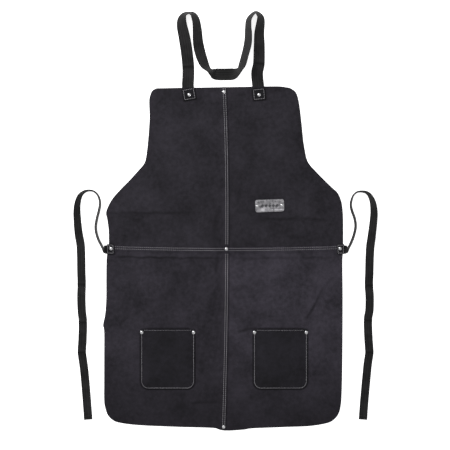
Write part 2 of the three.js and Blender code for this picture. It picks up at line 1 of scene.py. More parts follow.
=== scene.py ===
import math
import bpy
import numpy as np
from mathutils.geometry import delaunay_2d_cdt
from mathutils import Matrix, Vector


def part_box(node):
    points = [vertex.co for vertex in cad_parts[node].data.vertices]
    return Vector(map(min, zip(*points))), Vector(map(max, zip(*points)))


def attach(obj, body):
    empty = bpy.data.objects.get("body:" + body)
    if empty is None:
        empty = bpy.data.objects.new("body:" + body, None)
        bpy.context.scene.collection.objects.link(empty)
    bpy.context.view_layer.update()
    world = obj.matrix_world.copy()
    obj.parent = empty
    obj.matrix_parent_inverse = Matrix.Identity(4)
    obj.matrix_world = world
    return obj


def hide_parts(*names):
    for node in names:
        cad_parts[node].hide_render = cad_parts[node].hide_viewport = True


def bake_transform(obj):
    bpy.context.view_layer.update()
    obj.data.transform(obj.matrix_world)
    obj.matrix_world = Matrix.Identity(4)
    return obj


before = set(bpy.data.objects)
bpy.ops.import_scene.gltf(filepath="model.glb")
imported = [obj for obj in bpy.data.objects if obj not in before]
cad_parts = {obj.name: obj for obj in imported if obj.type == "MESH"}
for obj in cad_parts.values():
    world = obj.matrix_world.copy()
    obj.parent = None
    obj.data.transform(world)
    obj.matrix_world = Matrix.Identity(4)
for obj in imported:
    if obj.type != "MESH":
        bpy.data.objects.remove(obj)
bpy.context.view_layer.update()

# A split-leather welding apron, laid out flat and face up. Everything is in metres unless a name
# ends in _MM or _mm. X runs across the apron, Y runs up towards the bib, Z comes out of its front.

MM = 0.001
LEATHER = 1.5 * MM
PATCH_LEATHER = 1.2 * MM
LAYER = 1.6 * MM
WEBBING = 1.4 * MM
AIR = 0.1 * MM


# --- Camera and light ---

def add_to_scene(name, data):
    thing = bpy.data.objects.new(name, data)
    bpy.context.scene.collection.objects.link(thing)
    return thing


LENS_MM = 92.3
CAMERA_PLACE = (0.0025, 0.0876, 3.0)
LAMP_PLACE = (-1.1, 1.3, 1.35)
LAMP_WATTS = 40
SKY_STRENGTH = 0.7


def camera_above():
    lens = bpy.data.cameras.new("camera")
    lens.sensor_width = 36
    lens.lens = LENS_MM
    camera = add_to_scene("camera", lens)
    camera.location = CAMERA_PLACE
    bpy.context.scene.camera = camera


def studio_light():
    world = bpy.data.worlds.new("studio")
    world.use_nodes = True
    sky = world.node_tree.nodes["Background"]
    sky.inputs["Color"].default_value = (1, 1, 1, 1)
    sky.inputs["Strength"].default_value = SKY_STRENGTH
    bpy.context.scene.world = world
    bpy.context.scene.view_settings.view_transform = "Standard"
    soft_box = bpy.data.lights.new("soft_box", "AREA")
    soft_box.shape = "RECTANGLE"
    soft_box.size = 1.6
    soft_box.size_y = 1.0
    soft_box.energy = LAMP_WATTS
    lamp = add_to_scene("soft_box", soft_box)
    lamp.location = LAMP_PLACE
    lamp.rotation_euler = (math.radians(-43), math.radians(-32), 0)


camera_above()
studio_light()


# --- Node tools ---

class Nodes:
    """Adds nodes to a tree and joins their sockets."""

    def __init__(self, tree):
        self.tree = tree

    def add(self, kind, **settings):
        node = self.tree.nodes.new(kind)
        for name, value in settings.items():
            setattr(node, name, value)
        return node

    def join(self, source, target):
        self.tree.links.new(source, target)

    def math(self, operation, a, b=None, c=None):
        node = self.add("ShaderNodeMath", operation=operation)
        for socket, value in zip(node.inputs, (a, b, c)):
            if value is None:
                continue
            if isinstance(value, (int, float)):
                socket.default_value = value
            else:
                self.join(value, socket)
        return node.outputs[0]

    def noise(self, vector, scale, detail=3.0, roughness=0.5):
        node = self.add("ShaderNodeTexNoise")
        node.inputs["Detail"].default_value = detail
        node.inputs["Roughness"].default_value = roughness
        self.join(vector, node.inputs["Vector"])
        if isinstance(scale, (int, float)):
            node.inputs["Scale"].default_value = scale
        else:
            self.join(scale, node.inputs["Scale"])
        return node.outputs["Fac"]

    def range(self, value, low, high, to_low, to_high):
        node = self.add("ShaderNodeMapRange")
        self.join(value, node.inputs["Value"])
        for name, number in (("From Min", low), ("From Max", high), ("To Min", to_low), ("To Max", to_high)):
            node.inputs[name].default_value = number
        return node.outputs["Result"]

    def ramp(self, value, stops):
        node = self.add("ShaderNodeValToRGB")
        bar = node.color_ramp
        while len(bar.elements) < len(stops):
            bar.elements.new(0.5)
        for element, (place, color) in zip(bar.elements, stops):
            element.position = place
            element.color = (*color, 1)
        self.join(value, node.inputs["Fac"])
        return node.outputs["Color"]

    def mix(self, share, a, b):
        node = self.add("ShaderNodeMix", data_type="RGBA", blend_type="MIX")
        colors = [socket for socket in node.inputs if socket.type == "RGBA"]
        for socket, value in zip((node.inputs["Factor"], *colors), (share, a, b)):
            if isinstance(value, (int, float)):
                socket.default_value = value
            elif isinstance(value, tuple):
                socket.default_value = (*value, 1)
            else:
                self.join(value, socket)
        return [socket for socket in node.outputs if socket.type == "RGBA"][0]

    def spot(self):
        return self.add("ShaderNodeTexCoord").outputs["Object"]

    def split(self, vector):
        node = self.add("ShaderNodeSeparateXYZ")
        self.join(vector, node.inputs[0])
        return node.outputs

    def vector_math(self, operation, a, b=None):
        node = self.add("ShaderNodeVectorMath", operation=operation)
        self.join(a, node.inputs[0])
        if b is not None:
            self.join(b, node.inputs[1])
        return node.outputs

    def laid(self, vector, middle, angle, scale=(1, 1, 1)):
        """The vector as seen from a place on the apron, turned by an angle and scaled."""
        node = self.add("ShaderNodeMapping", vector_type="TEXTURE")
        node.inputs["Location"].default_value = (*middle, 0)
        node.inputs["Rotation"].default_value = (0, 0, angle)
        node.inputs["Scale"].default_value = scale
        self.join(vector, node.inputs["Vector"])
        return node.outputs["Vector"]


def shader_group(name, inputs, outputs):
    """An empty node group with these sockets, given as (name, kind, value)."""
    tree = bpy.data.node_groups.new(name, "ShaderNodeTree")
    for label, kind, value in inputs:
        socket = tree.interface.new_socket(label, in_out="INPUT", socket_type=kind)
        if value is not None:
            socket.default_value = value
    for label, kind in outputs:
        tree.interface.new_socket(label, in_out="OUTPUT", socket_type=kind)
    nodes = Nodes(tree)
    return nodes, nodes.add("NodeGroupInput").outputs, nodes.add("NodeGroupOutput").inputs


def place_group(nodes, tree, vector, **values):
    """Places a group and gives back its outputs. A value is a number, a vector or a socket to join."""
    node = nodes.add("ShaderNodeGroup")
    node.node_tree = tree
    nodes.join(vector, node.inputs["Vector"])
    for name, value in values.items():
        socket = node.inputs[name.replace("_", " ")]
        if isinstance(value, bpy.types.NodeSocket):
            nodes.join(value, socket)
        else:
            socket.default_value = value
    return node.outputs


def new_material(name):
    material = bpy.data.materials.new(name)
    material.use_nodes = True
    nodes = Nodes(material.node_tree)
    return material, nodes, nodes.tree.nodes["Principled BSDF"].inputs


def set_bump(nodes, skin, height, strength, distance):
    bump = nodes.add("ShaderNodeBump")
    bump.inputs["Strength"].default_value = strength
    bump.inputs["Distance"].default_value = distance
    nodes.join(height, bump.inputs["Height"])
    nodes.join(bump.outputs["Normal"], skin["Normal"])


# --- Effects that several materials use ---

def make_nap():
    """Suede nap: brushed fibres, mottled patches and broad clouds in the dye."""
    numbers = [("Fibre", 850.0), ("Mottle", 95.0), ("Cloud", 11.0), ("Fibre Share", 0.5),
               ("Mottle Share", 0.5), ("Cloud Share", 0.5)]
    inputs = [("Vector", "NodeSocketVector", None)]
    inputs += [(name, "NodeSocketFloat", value) for name, value in numbers]
    outputs = [("Tone", "NodeSocketFloat"), ("Height", "NodeSocketFloat")]
    nodes, given, result = shader_group("nap", inputs, outputs)
    spot = given["Vector"]
    fibre = nodes.noise(spot, given["Fibre"], 4, 0.7)
    mottle = nodes.noise(spot, given["Mottle"], 5, 0.62)
    cloud = nodes.noise(spot, given["Cloud"], 4, 0.55)
    tone = 0.5
    for layer, share in ((fibre, "Fibre Share"), (mottle, "Mottle Share"), (cloud, "Cloud Share")):
        swing = nodes.math("MULTIPLY", nodes.math("SUBTRACT", layer, 0.5), given[share])
        tone = nodes.math("ADD", swing, tone)
    nodes.join(tone, result["Tone"])
    nodes.join(nodes.math("MULTIPLY_ADD", mottle, 0.7, nodes.math("MULTIPLY", fibre, 0.5)), result["Height"])
    return nodes.tree


def make_lint():
    """Lint: sparse pale fibres and dust specks caught in a dark surface."""
    inputs = [("Vector", "NodeSocketVector", None), ("Amount", "NodeSocketFloat", 0.3)]
    nodes, given, result = shader_group("lint", inputs, [("Mask", "NodeSocketFloat")])
    speck = nodes.add("ShaderNodeTexVoronoi", feature="F1")
    speck.inputs["Scale"].default_value = 160
    nodes.join(given["Vector"], speck.inputs["Vector"])
    near = nodes.range(speck.outputs["Distance"], 0.0, 0.14, 1.0, 0.0)
    patch = nodes.range(nodes.noise(given["Vector"], 28, 2), 0.5, 0.68, 0.0, 1.0)
    nodes.join(nodes.math("MULTIPLY", nodes.math("MULTIPLY", near, patch), given["Amount"]), result["Mask"])
    return nodes.tree


def make_crease_shade():
    """A line of painted shade on a crease, along the X of a placed vector, from -1 to 1, that wanders a
    little.
    """
    inputs = [("Vector", "NodeSocketVector", None), ("Spot", "NodeSocketVector", None),
              ("Strength", "NodeSocketFloat", 0.5)]
    nodes, given, result = shader_group("crease", inputs, [("Mask", "NodeSocketFloat")])
    split = nodes.split(given["Vector"])
    wander = nodes.math("SUBTRACT", nodes.noise(given["Spot"], 22, 3), 0.5)
    off = nodes.math("ABSOLUTE", nodes.math("MULTIPLY_ADD", wander, 2.2, split["Y"]))
    across = nodes.math("MAXIMUM", nodes.math("SUBTRACT", 1, off), 0)
    end = nodes.range(nodes.math("ABSOLUTE", split["X"]), 0.75, 1.0, 1.0, 0.0)
    broken = nodes.range(nodes.noise(given["Spot"], 14, 2), 0.35, 0.6, 0.45, 1.0)
    line = nodes.math("MULTIPLY", nodes.math("MULTIPLY", across, end), broken)
    nodes.join(nodes.math("MULTIPLY", line, given["Strength"]), result["Mask"])
    return nodes.tree


BORDER_WIDTH = 3 * MM
BORDER_OUTSET = 0.8 * MM


def make_border_shadow():
    """A narrow band of painted shadow along the outline of a rounded box that is centred on a placed vector,
    in metres.
    Half Size reaches from its middle to the middles of its corners."""
    inputs = [("Vector", "NodeSocketVector", None), ("Half Size", "NodeSocketVector", None),
              ("Corner", "NodeSocketFloat", 2 * MM)]
    nodes, given, result = shader_group("border_shadow", inputs, [("Mask", "NodeSocketFloat")])
    folded = nodes.vector_math("ABSOLUTE", given["Vector"])["Vector"]
    past = nodes.vector_math("SUBTRACT", folded, given["Half Size"])["Vector"]
    outside = nodes.vector_math("MAXIMUM", past)["Vector"]
    reach = nodes.vector_math("LENGTH", outside)["Value"]
    off = nodes.math("ABSOLUTE", nodes.math("SUBTRACT", reach, given["Corner"]))
    share = nodes.math("DIVIDE", off, BORDER_WIDTH)
    nodes.join(nodes.math("MAXIMUM", nodes.math("SUBTRACT", 1, share), 0), result["Mask"])
    return nodes.tree


NAP = make_nap()
LINT = make_lint()
CREASE_SHADE = make_crease_shade()
BORDER_SHADOW = make_border_shadow()


# --- Materials ---

FADE_HIGH = -0.2
FADE_LOW = -0.4
HEM_DARK_AND_CREASE_SHADE = (0.004, 0.0036, 0.0048)
EDGE_SHADE_TONE = (0.006, 0.0055, 0.006)
BORDER_SHADOW_TONE = (0.003, 0.0027, 0.0036)
LINT_TONE = (0.12, 0.12, 0.125)


def suede(name, dark, light, roughness, fade=0.0, creases=(), border_shadows=()):
    """Split leather: dark dye with a soft uneven nap, darker towards the hem. Painted shade darkens its raw
    edges and creases, and painted shadow a band round what is sewn on it."""
    material, nodes, skin = new_material(name)
    spot = nodes.spot()
    nap = place_group(nodes, NAP, spot, Fibre_Share=0.7, Mottle_Share=0.8, Cloud_Share=1.05)
    lint = place_group(nodes, LINT, spot, Amount=0.25)
    dye = nodes.ramp(nap["Tone"], [(0.22, dark), (0.78, light)])
    # Painted shade on the sides of the raw edges.
    edge_shade = nodes.add("ShaderNodeAttribute", attribute_name="edge_shade").outputs["Fac"]
    dye = nodes.mix(nodes.math("MULTIPLY", edge_shade, 0.7), dye, EDGE_SHADE_TONE)
    # Darker towards the hem.
    hem_darkening = nodes.range(nodes.split(spot)["Y"], FADE_LOW, FADE_HIGH, fade, 0.0)
    dye = nodes.mix(hem_darkening, dye, HEM_DARK_AND_CREASE_SHADE)
    # Painted shade along each crease.
    for middle, angle, half_length, half_width, strength in creases:
        fold_shade = nodes.laid(spot, middle, math.radians(angle), (half_length, half_width, 1))
        line = place_group(nodes, CREASE_SHADE, fold_shade, Strength=strength, Spot=spot)
        dye = nodes.mix(line["Mask"], dye, HEM_DARK_AND_CREASE_SHADE)
    # Painted shadow just outside each pocket and shoulder patch.
    for middle, angle, size, corner in border_shadows:
        half = (size[0] / 2 - corner, size[1] / 2 - corner, 1)
        band = place_group(nodes, BORDER_SHADOW, nodes.laid(spot, middle, angle), Half_Size=half,
                           Corner=corner + BORDER_OUTSET)
        dye = nodes.mix(nodes.math("MULTIPLY", band["Mask"], 0.75), dye, BORDER_SHADOW_TONE)
    nodes.join(nodes.mix(lint["Mask"], dye, LINT_TONE), skin["Base Color"])
    nodes.join(nodes.range(nap["Tone"], 0.2, 0.8, roughness, roughness + 0.12), skin["Roughness"])
    skin["Specular IOR Level"].default_value = 0.12
    skin["Sheen Weight"].default_value = 0.05
    skin["Sheen Roughness"].default_value = 0.5
    set_bump(nodes, skin, nap["Height"], 0.55, 0.7 * MM)
    return material


RIB_PITCH = 2.1 * MM
PICK_PITCH = 1.3 * MM
BAND_PITCH = 6.2 * MM


def woven_webbing():
    """Flat woven tape: lengthwise ribs, fine crosswise picks, and painted shade where it was folded."""
    material, nodes, skin = new_material("woven_webbing")
    along = nodes.add("ShaderNodeUVMap", uv_map="weave").outputs["UV"]
    place = nodes.split(along)

    def wave(axis, pitch):
        return nodes.math("SINE", nodes.math("MULTIPLY", place[axis], 2 * math.pi / pitch))
    rib = wave("Y", RIB_PITCH)
    pick = wave("X", PICK_PITCH)
    band = wave("Y", BAND_PITCH)
    ribs = nodes.math("MULTIPLY_ADD", band, 0.3, nodes.math("MULTIPLY", rib, 0.3))
    weave = nodes.math("MULTIPLY_ADD", nodes.math("MULTIPLY", rib, pick), 0.18, ribs)
    nap = place_group(nodes, NAP, along, Fibre=1500.0, Mottle=60.0, Cloud=24.0, Cloud_Share=1.7)
    lint = place_group(nodes, LINT, along, Amount=0.35)
    tone = nodes.math("MULTIPLY_ADD", weave, 0.5, nap["Tone"])
    yarn = nodes.ramp(tone, [(0.15, (0.0030, 0.0030, 0.0031)), (0.85, (0.0180, 0.0176, 0.0182))])
    # Painted shade where the tape was folded.
    fold_shade = nodes.add("ShaderNodeAttribute", attribute_name="fold_shade").outputs["Fac"]
    yarn = nodes.mix(nodes.math("MULTIPLY", fold_shade, 0.8), yarn, (0.0015, 0.0015, 0.0015))
    nodes.join(nodes.mix(lint["Mask"], yarn, (0.12, 0.12, 0.12)), skin["Base Color"])
    nodes.join(nodes.range(tone, 0.1, 0.9, 0.78, 0.95), skin["Roughness"])
    skin["Specular IOR Level"].default_value = 0.16
    skin["Sheen Weight"].default_value = 0.04
    set_bump(nodes, skin, nodes.math("MULTIPLY_ADD", weave, 0.9, nap["Height"]), 0.6, 0.35 * MM)
    return material


def waxed_thread(name, dark, light):
    """Twisted grey thread, a little soiled."""
    material, nodes, skin = new_material(name)
    spot = nodes.spot()
    nap = place_group(nodes, NAP, spot, Fibre=2400.0, Mottle=320.0, Cloud=14.0, Cloud_Share=1.1)
    nodes.join(nodes.ramp(nap["Tone"], [(0.2, dark), (0.8, light)]), skin["Base Color"])
    nodes.join(nodes.range(nap["Tone"], 0.2, 0.8, 0.55, 0.75), skin["Roughness"])
    skin["Specular IOR Level"].default_value = 0.35
    set_bump(nodes, skin, nap["Height"], 0.6, 0.15 * MM)
    return material


def dark_thread():
    """Black thread on the webbing's hems."""
    material, nodes, skin = new_material("dark_thread")
    spot = nodes.spot()
    nap = place_group(nodes, NAP, spot, Fibre=2400.0, Mottle=320.0, Cloud=14.0)
    nodes.join(nodes.ramp(nap["Tone"], [(0.2, (0.012, 0.012, 0.012)), (0.8, (0.05, 0.05, 0.05))]),
               skin["Base Color"])
    skin["Roughness"].default_value = 0.7
    set_bump(nodes, skin, nap["Height"], 0.6, 0.15 * MM)
    return material


def brushed_plate(name, dull, bright, stain):
    """Aged metal, brushed from end to end, with smoky stains."""
    material, nodes, skin = new_material(name)
    spot = nodes.spot()
    turn = nodes.add("ShaderNodeMapping")
    turn.inputs["Scale"].default_value = (0.06, 1, 1)
    nodes.join(spot, turn.inputs["Vector"])
    lines = nodes.noise(turn.outputs["Vector"], 2600, 4, 0.7)
    nap = place_group(nodes, NAP, spot, Fibre=900.0, Mottle=150.0, Cloud=55.0, Cloud_Share=1.2)
    shade = nodes.math("MULTIPLY_ADD", lines, 0.5, nodes.math("MULTIPLY", nap["Tone"], 0.5))
    metal = nodes.ramp(shade, [(0.3, dull), (0.7, bright)])
    smoke = nodes.range(nodes.noise(spot, 120, 4, 0.65), 0.46, 0.66, 0.0, stain)
    nodes.join(nodes.mix(smoke, metal, (0.05, 0.05, 0.055)), skin["Base Color"])
    skin["Metallic"].default_value = 1
    nodes.join(nodes.range(shade, 0.25, 0.75, 0.28, 0.5), skin["Roughness"])
    set_bump(nodes, skin, lines, 0.25, 0.05 * MM)
    return material


def nickel():
    """Polished nickel with faint handling marks and a little tarnish."""
    material, nodes, skin = new_material("nickel")
    spot = nodes.spot()
    nap = place_group(nodes, NAP, spot, Fibre=3000.0, Mottle=700.0, Cloud=220.0)
    shine = nodes.ramp(nap["Tone"], [(0.2, (0.45, 0.45, 0.46)), (0.75, (0.70, 0.70, 0.71))])
    nodes.join(shine, skin["Base Color"])
    skin["Metallic"].default_value = 1
    nodes.join(nodes.range(nap["Tone"], 0.2, 0.8, 0.16, 0.34), skin["Roughness"])
    set_bump(nodes, skin, nap["Height"], 0.2, 0.05 * MM)
    return material


def floor_paper():
    material, nodes, skin = new_material("floor_paper")
    spot = nodes.spot()
    grain = nodes.noise(spot, 40, 2)
    nodes.join(nodes.ramp(grain, [(0.3, (0.93, 0.93, 0.93)), (0.7, (0.95, 0.95, 0.95))]), skin["Base Color"])
    skin["Roughness"].default_value = 0.9
    skin["Emission Color"].default_value = (1, 1, 1, 1)
    skin["Emission Strength"].default_value = 0.8
    return material


POCKET_SIZE = (141 * MM, 157 * MM)
POCKET_CORNER = 20 * MM
SHOULDER_PATCH = (32 * MM, 30 * MM)
PATCH_CORNER = 2 * MM
NECK_ENDS = {"left": (-93.9 * MM, math.radians(10)), "right": (88.9 * MM, math.radians(6))}


def cad_middle(node):
    low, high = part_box(node)
    return (low[0] + high[0]) / 2, (low[1] + high[1]) / 2


# Painted shadow in a band round what is sewn on the leather: middle, angle, size and corner.
BIB_BORDER_SHADOWS = [(cad_middle(f"shoulder_patch_{side}"), NECK_ENDS[side][1], SHOULDER_PATCH, PATCH_CORNER)
               for side in NECK_ENDS]
LEFT_BORDER_SHADOW = [(cad_middle("pocket_left"), 0.0, POCKET_SIZE, POCKET_CORNER)]
RIGHT_BORDER_SHADOW = [(cad_middle("pocket_right"), 0.0, POCKET_SIZE, POCKET_CORNER)]
# Painted shade along creases: middle, angle in degrees, half length, half width and strength.
BIB_CREASE_SHADES = [((-0.185, 0.119), 0.3, 0.13, 0.006, 0.6), ((0.165, 0.103), 0, 0.115, 0.006, 0.55),
               ((-0.02, 0.09), 80, 0.05, 0.010, 0.5)]
LEFT_CREASE_SHADES = [((-0.15, 0.003), -0.6, 0.155, 0.005, 0.85), ((-0.02, -0.01), 84, 0.03, 0.008, 0.6),
                ((-0.235, -0.105), -0.8, 0.075, 0.005, 0.3), ((-0.05, -0.372), 4, 0.04, 0.006, 0.6)]
RIGHT_CREASE_SHADES = [((0.236, -0.116), 64, 0.052, 0.005, 0.75), ((0.16, 0.002), 0.5, 0.14, 0.005, 0.35),
                 ((0.06, -0.185), 10, 0.03, 0.006, 0.6)]
BIB_SUEDE = suede("bib_suede", (0.0078, 0.0070, 0.0092), (0.0248, 0.0225, 0.0288), 0.84, 0.0, BIB_CREASE_SHADES,
                  BIB_BORDER_SHADOWS)
LEFT_SUEDE = suede("left_skirt_suede", (0.0098, 0.0088, 0.0117), (0.0305, 0.0272, 0.0355), 0.84, 0.38,
                   LEFT_CREASE_SHADES, LEFT_BORDER_SHADOW)
RIGHT_SUEDE = suede("right_skirt_suede", (0.0130, 0.0116, 0.0155), (0.0395, 0.0352, 0.0462), 0.84, 0.5,
                    RIGHT_CREASE_SHADES, RIGHT_BORDER_SHADOW)
PATCH_SUEDE = suede("patch_suede", (0.0050, 0.0046, 0.0061), (0.0148, 0.0136, 0.0180), 0.74)
BADGE_SUEDE = suede("badge_suede", (0.0032, 0.0030, 0.0039), (0.0105, 0.0097, 0.0125), 0.78)
WOVEN = woven_webbing()
THREAD = waxed_thread("waxed_thread", (0.155, 0.150, 0.162), (0.345, 0.335, 0.355))
HEM_THREAD = dark_thread()
SOILED_THREAD = waxed_thread("soiled_thread", (0.095, 0.092, 0.100), (0.25, 0.243, 0.258))
PLATE = brushed_plate("plate_metal", (0.185, 0.18, 0.195), (0.48, 0.47, 0.49), 0.75)
DARK_PLATE = brushed_plate("dark_plate_metal", (0.03, 0.03, 0.032), (0.12, 0.12, 0.125), 0.6)
NICKEL = nickel()
FLOOR = floor_paper()


# --- Mesh tools ---

def deselect_all():
    if bpy.context.object and bpy.context.object.mode != "OBJECT":
        bpy.ops.object.mode_set(mode="OBJECT")
    bpy.ops.object.select_all(action="DESELECT")


def choose(thing):
    deselect_all()
    thing.select_set(True)
    bpy.context.view_layer.objects.active = thing


def mesh_object(name, points, faces, material):
    mesh = bpy.data.meshes.new(name)
    mesh.from_pydata([tuple(point) for point in points], [], faces)
    mesh.materials.append(material)
    return add_to_scene(name, mesh)


def apply(thing, kind, **settings):
    choose(thing)
    modifier = thing.modifiers.new(kind.title(), kind)
    for name, value in settings.items():
        setattr(modifier, name, value)
    bpy.ops.object.modifier_apply(modifier=modifier.name)


def shade_soft(thing, degrees):
    choose(thing)
    bpy.ops.object.shade_smooth_by_angle(angle=math.radians(degrees))


def round_edges(thing, width, degrees, segments=2):
    apply(thing, "BEVEL", width=width, segments=segments, limit_method="ANGLE",
          angle_limit=math.radians(degrees))


def select_parts(thing, kind, test):
    """Goes into edit mode with only the vertices, edges or faces selected that pass the test."""
    choose(thing)
    bpy.ops.object.mode_set(mode="EDIT")
    bpy.ops.mesh.select_mode(type=kind)
    bpy.ops.mesh.select_all(action="DESELECT")
    bpy.ops.object.mode_set(mode="OBJECT")
    mesh = thing.data
    for part in {"VERT": mesh.vertices, "EDGE": mesh.edges, "FACE": mesh.polygons}[kind]:
        part.select = test(part)
    bpy.ops.object.mode_set(mode="EDIT")


def inset_faces(thing, test, steps_mm):
    """Insets the faces that pass the test, by each thickness and depth in turn."""
    select_parts(thing, "FACE", test)
    for thickness, depth in steps_mm:
        bpy.ops.mesh.inset(thickness=thickness * MM, depth=depth * MM)
    bpy.ops.object.mode_set(mode="OBJECT")


def finish_place(thing):
    """Puts the object's place into its mesh."""
    choose(thing)
    bpy.ops.object.transform_apply(location=True, rotation=True, scale=True)


def shaped_from(add, **sizes):
    """What a primitive operator adds, with its place in its mesh."""
    deselect_all()
    add(**sizes)
    thing = bpy.context.object
    finish_place(thing)
    return thing


def ease(low, high, value):
    """0 below low, 1 above high, and a smooth step between."""
    share = np.clip((value - low) / (high - low), 0, 1)
    return share * share * (3 - 2 * share)


def smooth_path(rows, steps, closed=False):
    """A smooth line through rows of numbers, with this many steps from each row to the next."""
    rows = np.array(rows, float)
    if closed:
        padded = np.vstack([rows[-1], rows, rows[:2]])
    else:
        padded = np.vstack([2 * rows[0] - rows[1], rows, 2 * rows[-1] - rows[-2]])
    line = []
    for a, b, c, d in zip(padded, padded[1:], padded[2:], padded[3:]):
        for step in range(steps):
            t = step / steps
            line.append(0.5 * (2 * b + (c - a) * t + (2 * a - 5 * b + 4 * c - d) * t ** 2
                               + (3 * b - a - 3 * c + d) * t ** 3))
    if not closed:
        line.append(rows[-1])
    return np.array(line)


def lengths_along(line):
    """How far along the line each of its points is."""
    return np.concatenate([[0], np.cumsum(np.hypot(*np.diff(line, axis=0).T))])


def height_at(surface, x, y):
    """The height of a surface at one place."""
    return float(surface(np.array([x]), np.array([y]))[0])


def is_inside(loop, points):
    """Which of the points lie inside the closed loop."""
    x, y = points[:, 0], points[:, 1]
    inside = np.zeros(len(points), bool)
    for (x0, y0), (x1, y1) in zip(loop, np.roll(loop, -1, axis=0)):
        crosses = (y0 > y) != (y1 > y)
        with np.errstate(divide="ignore", invalid="ignore"):
            reach = x0 + (y - y0) * (x1 - x0) / (y1 - y0)
        inside ^= crosses & (x < reach)
    return inside


def spread(loop, lines, spacing):
    """Points and triangles that fill the loop, with edges along the loop and along each line."""
    edges = []
    rim = [loop]
    count = len(loop)
    edges += [(i, (i + 1) % count) for i in range(count)]
    for line in lines:
        edges += [(count + i, count + i + 1) for i in range(len(line) - 1)]
        rim.append(line)
        count += len(line)
    rim = np.vstack(rim)
    low, high = loop.min(axis=0), loop.max(axis=0)
    inner = []
    row_height = 0.87 * spacing
    for row, y in enumerate(np.arange(low[1] + spacing / 2, high[1], row_height)):
        shift = spacing / 2 * (row % 2)
        inner += [(x, y) for x in np.arange(low[0] + spacing / 2 + shift, high[0], spacing)]
    inner = np.array(inner)
    inner = inner[is_inside(loop, inner)]
    gap = np.min([np.min(np.hypot(inner[:, 0, None] - part[:, 0], inner[:, 1, None] - part[:, 1]), axis=1)
                  for part in np.array_split(rim, 8)], axis=0)
    inner = inner[gap > 0.45 * spacing]
    everything = [tuple(map(float, point)) for point in np.vstack([rim, inner])]
    points, _, triangles, *_ = delaunay_2d_cdt(everything, edges, [], 0, 1e-7, False)
    points = np.array([(p.x, p.y) for p in points])
    triangles = np.array(triangles)
    return points, triangles[is_inside(loop, points[triangles].mean(axis=1))]


EDGE_ROUNDING = 0.35 * MM


def leather_piece(name, points, triangles, back, thickness, material):
    """A sheet of leather whose back lies at the height back(x, y)."""
    used, inverse = np.unique(triangles, return_inverse=True)
    flat = points[used]
    spots = np.column_stack([flat, back(flat[:, 0], flat[:, 1])])
    corners = spots[inverse.reshape(-1, 3)]
    side = np.cross(corners[:, 1] - corners[:, 0], corners[:, 2] - corners[:, 0])[:, 2]
    faces = [tuple(map(int, face)) if z > 0 else tuple(map(int, face[::-1]))
             for face, z in zip(inverse.reshape(-1, 3), side)]
    piece = mesh_object(name, spots, faces, material)
    apply(piece, "SOLIDIFY", thickness=thickness, offset=1)
    round_edges(piece, EDGE_ROUNDING, 50)
    shade_soft(piece, 45)
    # Painted shade on the edges: 1 on the sides, 0 on faces that look up or down.
    edge_shade = piece.data.attributes.new("edge_shade", "FLOAT", "FACE")
    for face in piece.data.polygons:
        edge_shade.data[face.index].value = float(1 - ease(0.35, 0.8, abs(face.normal.z)))
    return piece


# --- The apron's shape ---

OUTLINE_MM = [
    (-61.6, 445.1), (-165.6, 443.3), (-175.5, 442.8), (-186.9, 436), (-193.2, 420.4), (-194.7, 404.8),
    (-193.7, 363.2), (-197.6, 306), (-202.5, 264.4), (-208.3, 246.2), (-224.6, 227.2), (-244.9, 204.6),
    (-265.5, 183.8), (-285.2, 162.2), (-298.2, 142.2), (-306.3, 120.1), (-303.4, 101.9), (-300, 74.6),
    (-299.3, 48.6), (-300.3, 27.8), (-304.7, 4.4), (-306, -29.4), (-306.3, -107.4), (-309.4, -146.4),
    (-314.3, -172.4), (-311.5, -195.8), (-311.7, -315.4), (-311.7, -367.4), (-308.6, -388.2),
    (-302.1, -406.4), (-289.1, -419.4), (-269.6, -426.7), (-217.6, -432.9), (-113.6, -437.3),
    (-30.4, -439.7), (-12.2, -444.3), (11.2, -446.9), (52.8, -444.1), (73.6, -441), (156.8, -437.6),
    (219.2, -435.2), (260.8, -429), (281.6, -421.2), (297.2, -403.8), (303.9, -377.8), (306, -336.2),
    (307.6, -253), (308.4, -107.4), (307.6, -8.6), (309.4, 22.6), (309.4, 100.6), (307.6, 131.8),
    (303.7, 152.6), (294.6, 172.1), (281.8, 183.8), (260.5, 204.6), (240, 225.4), (221.8, 245.7),
    (214.5, 260.5), (210.3, 280), (205.7, 308.6), (201.5, 350.2), (196.8, 391.8), (192.1, 417.8),
    (185.9, 433.4), (172.4, 443.3), (162, 445.6), (136, 448.2), (42.4, 446.7),
]
OUTLINE = smooth_path(np.array(OUTLINE_MM) * MM, 5, closed=True)

HALF_LAP = 6 * MM
STEP = 4 * MM
SEAM_TURN_Y = 130 * MM
SEAM_REACH = 0.46
WAIST_REACH = 0.33
PANEL_SPACING = 5 * MM
PATCH_SPACING = 3 * MM
WAIST_MIDDLE = (6 * MM, 23.9 * MM)
WAIST_RISE = 4.8 * MM
WAIST_HALF_WIDTH = 290 * MM


def seam_x(y):
    """The middle seam, which bows a little towards each end."""
    away = y - SEAM_TURN_Y
    return 7.3 * MM - np.where(away > 0, 0.07, 0.026) * away ** 2


def waist_y(x):
    """The waist seam, which rises a little towards the sides."""
    return WAIST_MIDDLE[1] + WAIST_RISE * ((x - WAIST_MIDDLE[0]) / WAIST_HALF_WIDTH) ** 2


